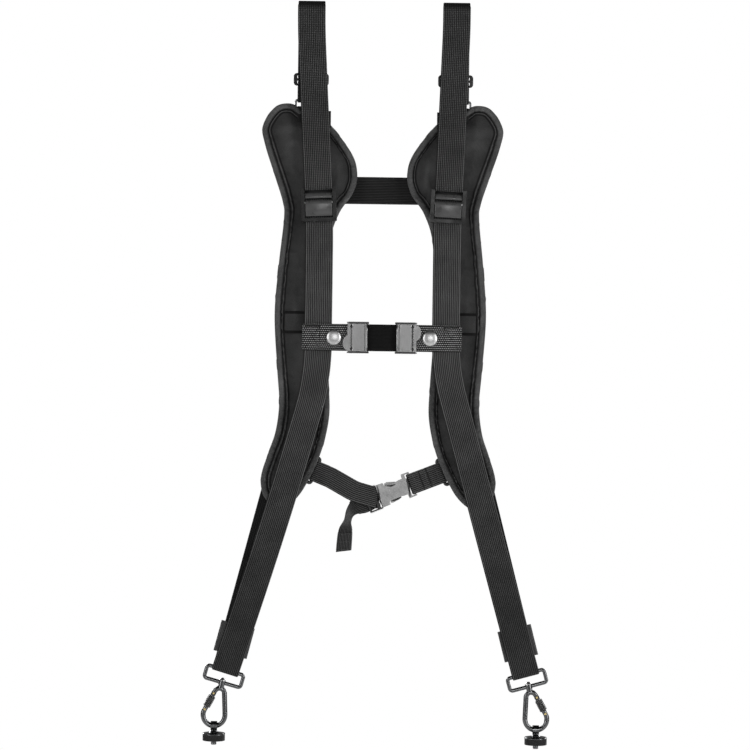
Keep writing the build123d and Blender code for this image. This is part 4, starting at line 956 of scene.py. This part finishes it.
def dress(node, material, edge):
    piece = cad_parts[node]
    piece.data.materials.clear()
    piece.data.materials.append(material)
    if edge:
        bevel = piece.modifiers.new("Edges", "BEVEL")
        bevel.width = edge * MM
        bevel.segments = 3
        bevel.limit_method = "ANGLE"
        bevel.angle_limit = math.radians(40)
        bevel.harden_normals = False


FULLER = 0.7


def thicken(node, amount):
    """Moves the surface outward, where the moulded part is fuller than its CAD node."""
    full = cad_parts[node].modifiers.new("Fuller", "DISPLACE")
    full.mid_level = 0.0
    full.strength = amount * MM


for name, (material, edge) in FINISH.items():
    for side, _ in SIDES:
        dress(f"{side}_{name}", material, edge)
for name, (material, edge) in SHARED.items():
    dress(name, material, edge)
for node in ("right_strap_loop", "left_strap_loop", "buckle_male", "right_chest_buckle", "left_chest_buckle"):
    thicken(node, FULLER)

# ---- camera, floor and light ----
PHOTO_WIDTH, DISTANCE, ROLL = 0.8925, 3.03, 0.77
AIM = Vector((-0.0054, FRONT_Y * MM, -0.4452))
camera_data = bpy.data.cameras.new("camera")
camera_data.sensor_width = 36.0
camera_data.lens = 36.0 * DISTANCE / PHOTO_WIDTH
camera = bpy.data.objects.new("camera", camera_data)
camera.matrix_world = (Matrix.Translation(AIM + Vector((0, -DISTANCE, 0)))
                       @ Matrix.Rotation(math.radians(90), 4, "X")
                       @ Matrix.Rotation(math.radians(ROLL), 4, "Z"))
bpy.context.scene.collection.objects.link(camera)
bpy.context.scene.camera = camera

FLOOR_Z, FLOOR_HALF = -1.15, 1.6
mesh = bpy.data.meshes.new("floor")
corners = ((-1, -1), (1, -1), (1, 1), (-1, 1))
mesh.from_pydata([(x * FLOOR_HALF, y * FLOOR_HALF, FLOOR_Z) for x, y in corners], [], [(0, 1, 2, 3)])
floor = bpy.data.objects.new("floor", mesh)
pale = Nodes("pale_floor", grey(0.9), 0.9)
pale.shader.inputs["Emission Color"].default_value = (1, 1, 1, 1)
pale.shader.inputs["Emission Strength"].default_value = 0.3
pale.link(pale.ramp(pale.noise(pale.position(), 3), grey(0.93), grey(0.96)), "Base Color")
mesh.materials.append(pale.material)
bpy.context.scene.collection.objects.link(floor)

world = bpy.data.worlds.new("studio")
world.use_nodes = True
bpy.context.scene.world = world
tree = world.node_tree
soft = tree.nodes["Background"]
soft.inputs["Color"].default_value = (1, 1, 1, 1)
sky = tree.nodes.new("ShaderNodeSeparateXYZ")
tree.links.new(tree.nodes.new("ShaderNodeTexCoord").outputs["Generated"], sky.inputs[0])
dome = tree.nodes.new("ShaderNodeMapRange")
for socket, value in (("From Min", 0.0), ("From Max", 0.7), ("To Min", 0.22), ("To Max", 0.02)):
    dome.inputs[socket].default_value = value
tree.links.new(sky.outputs[2], dome.inputs["Value"])
tree.links.new(dome.outputs[0], soft.inputs["Strength"])
seen = tree.nodes.new("ShaderNodeBackground")
seen.inputs["Strength"].default_value = 1.0
seen.inputs["Color"].default_value = (1, 1, 1, 1)
path = tree.nodes.new("ShaderNodeLightPath")
mix = tree.nodes.new("ShaderNodeMixShader")
tree.links.new(path.outputs["Is Camera Ray"], mix.inputs[0])
tree.links.new(soft.outputs[0], mix.inputs[1])
tree.links.new(seen.outputs[0], mix.inputs[2])
tree.links.new(mix.outputs[0], tree.nodes["World Output"].inputs["Surface"])


def softbox(name, place, aim, width, height, power):
    data = bpy.data.lights.new(name, "AREA")
    data.shape, data.size, data.size_y, data.energy = "RECTANGLE", width, height, power
    light = bpy.data.objects.new(name, data)
    direction = Vector(aim) - Vector(place)
    light.matrix_world = Matrix.Translation(place) @ direction.to_track_quat("-Z", "Y").to_matrix().to_4x4()
    bpy.context.scene.collection.objects.link(light)


softbox("left_softbox", (-2.0, -1.6, -0.1), (0, 0, -0.45), 0.5, 1.8, 24)
softbox("right_softbox", (2.0, -1.4, -0.2), (0, 0, -0.5), 0.5, 1.8, 30)
softbox("front_softbox", (0.3, -3.4, -0.1), (0, 0, -0.5), 0.9, 0.9, 20)
softbox("back_left_softbox", (-1.6, 2.4, 0.3), (0, 0, -0.45), 0.8, 1.8, 60)
softbox("back_right_softbox", (1.8, 2.2, 0.1), (0, 0, -0.45), 0.8, 1.8, 40)
bpy.context.scene.view_settings.view_transform = "Standard"
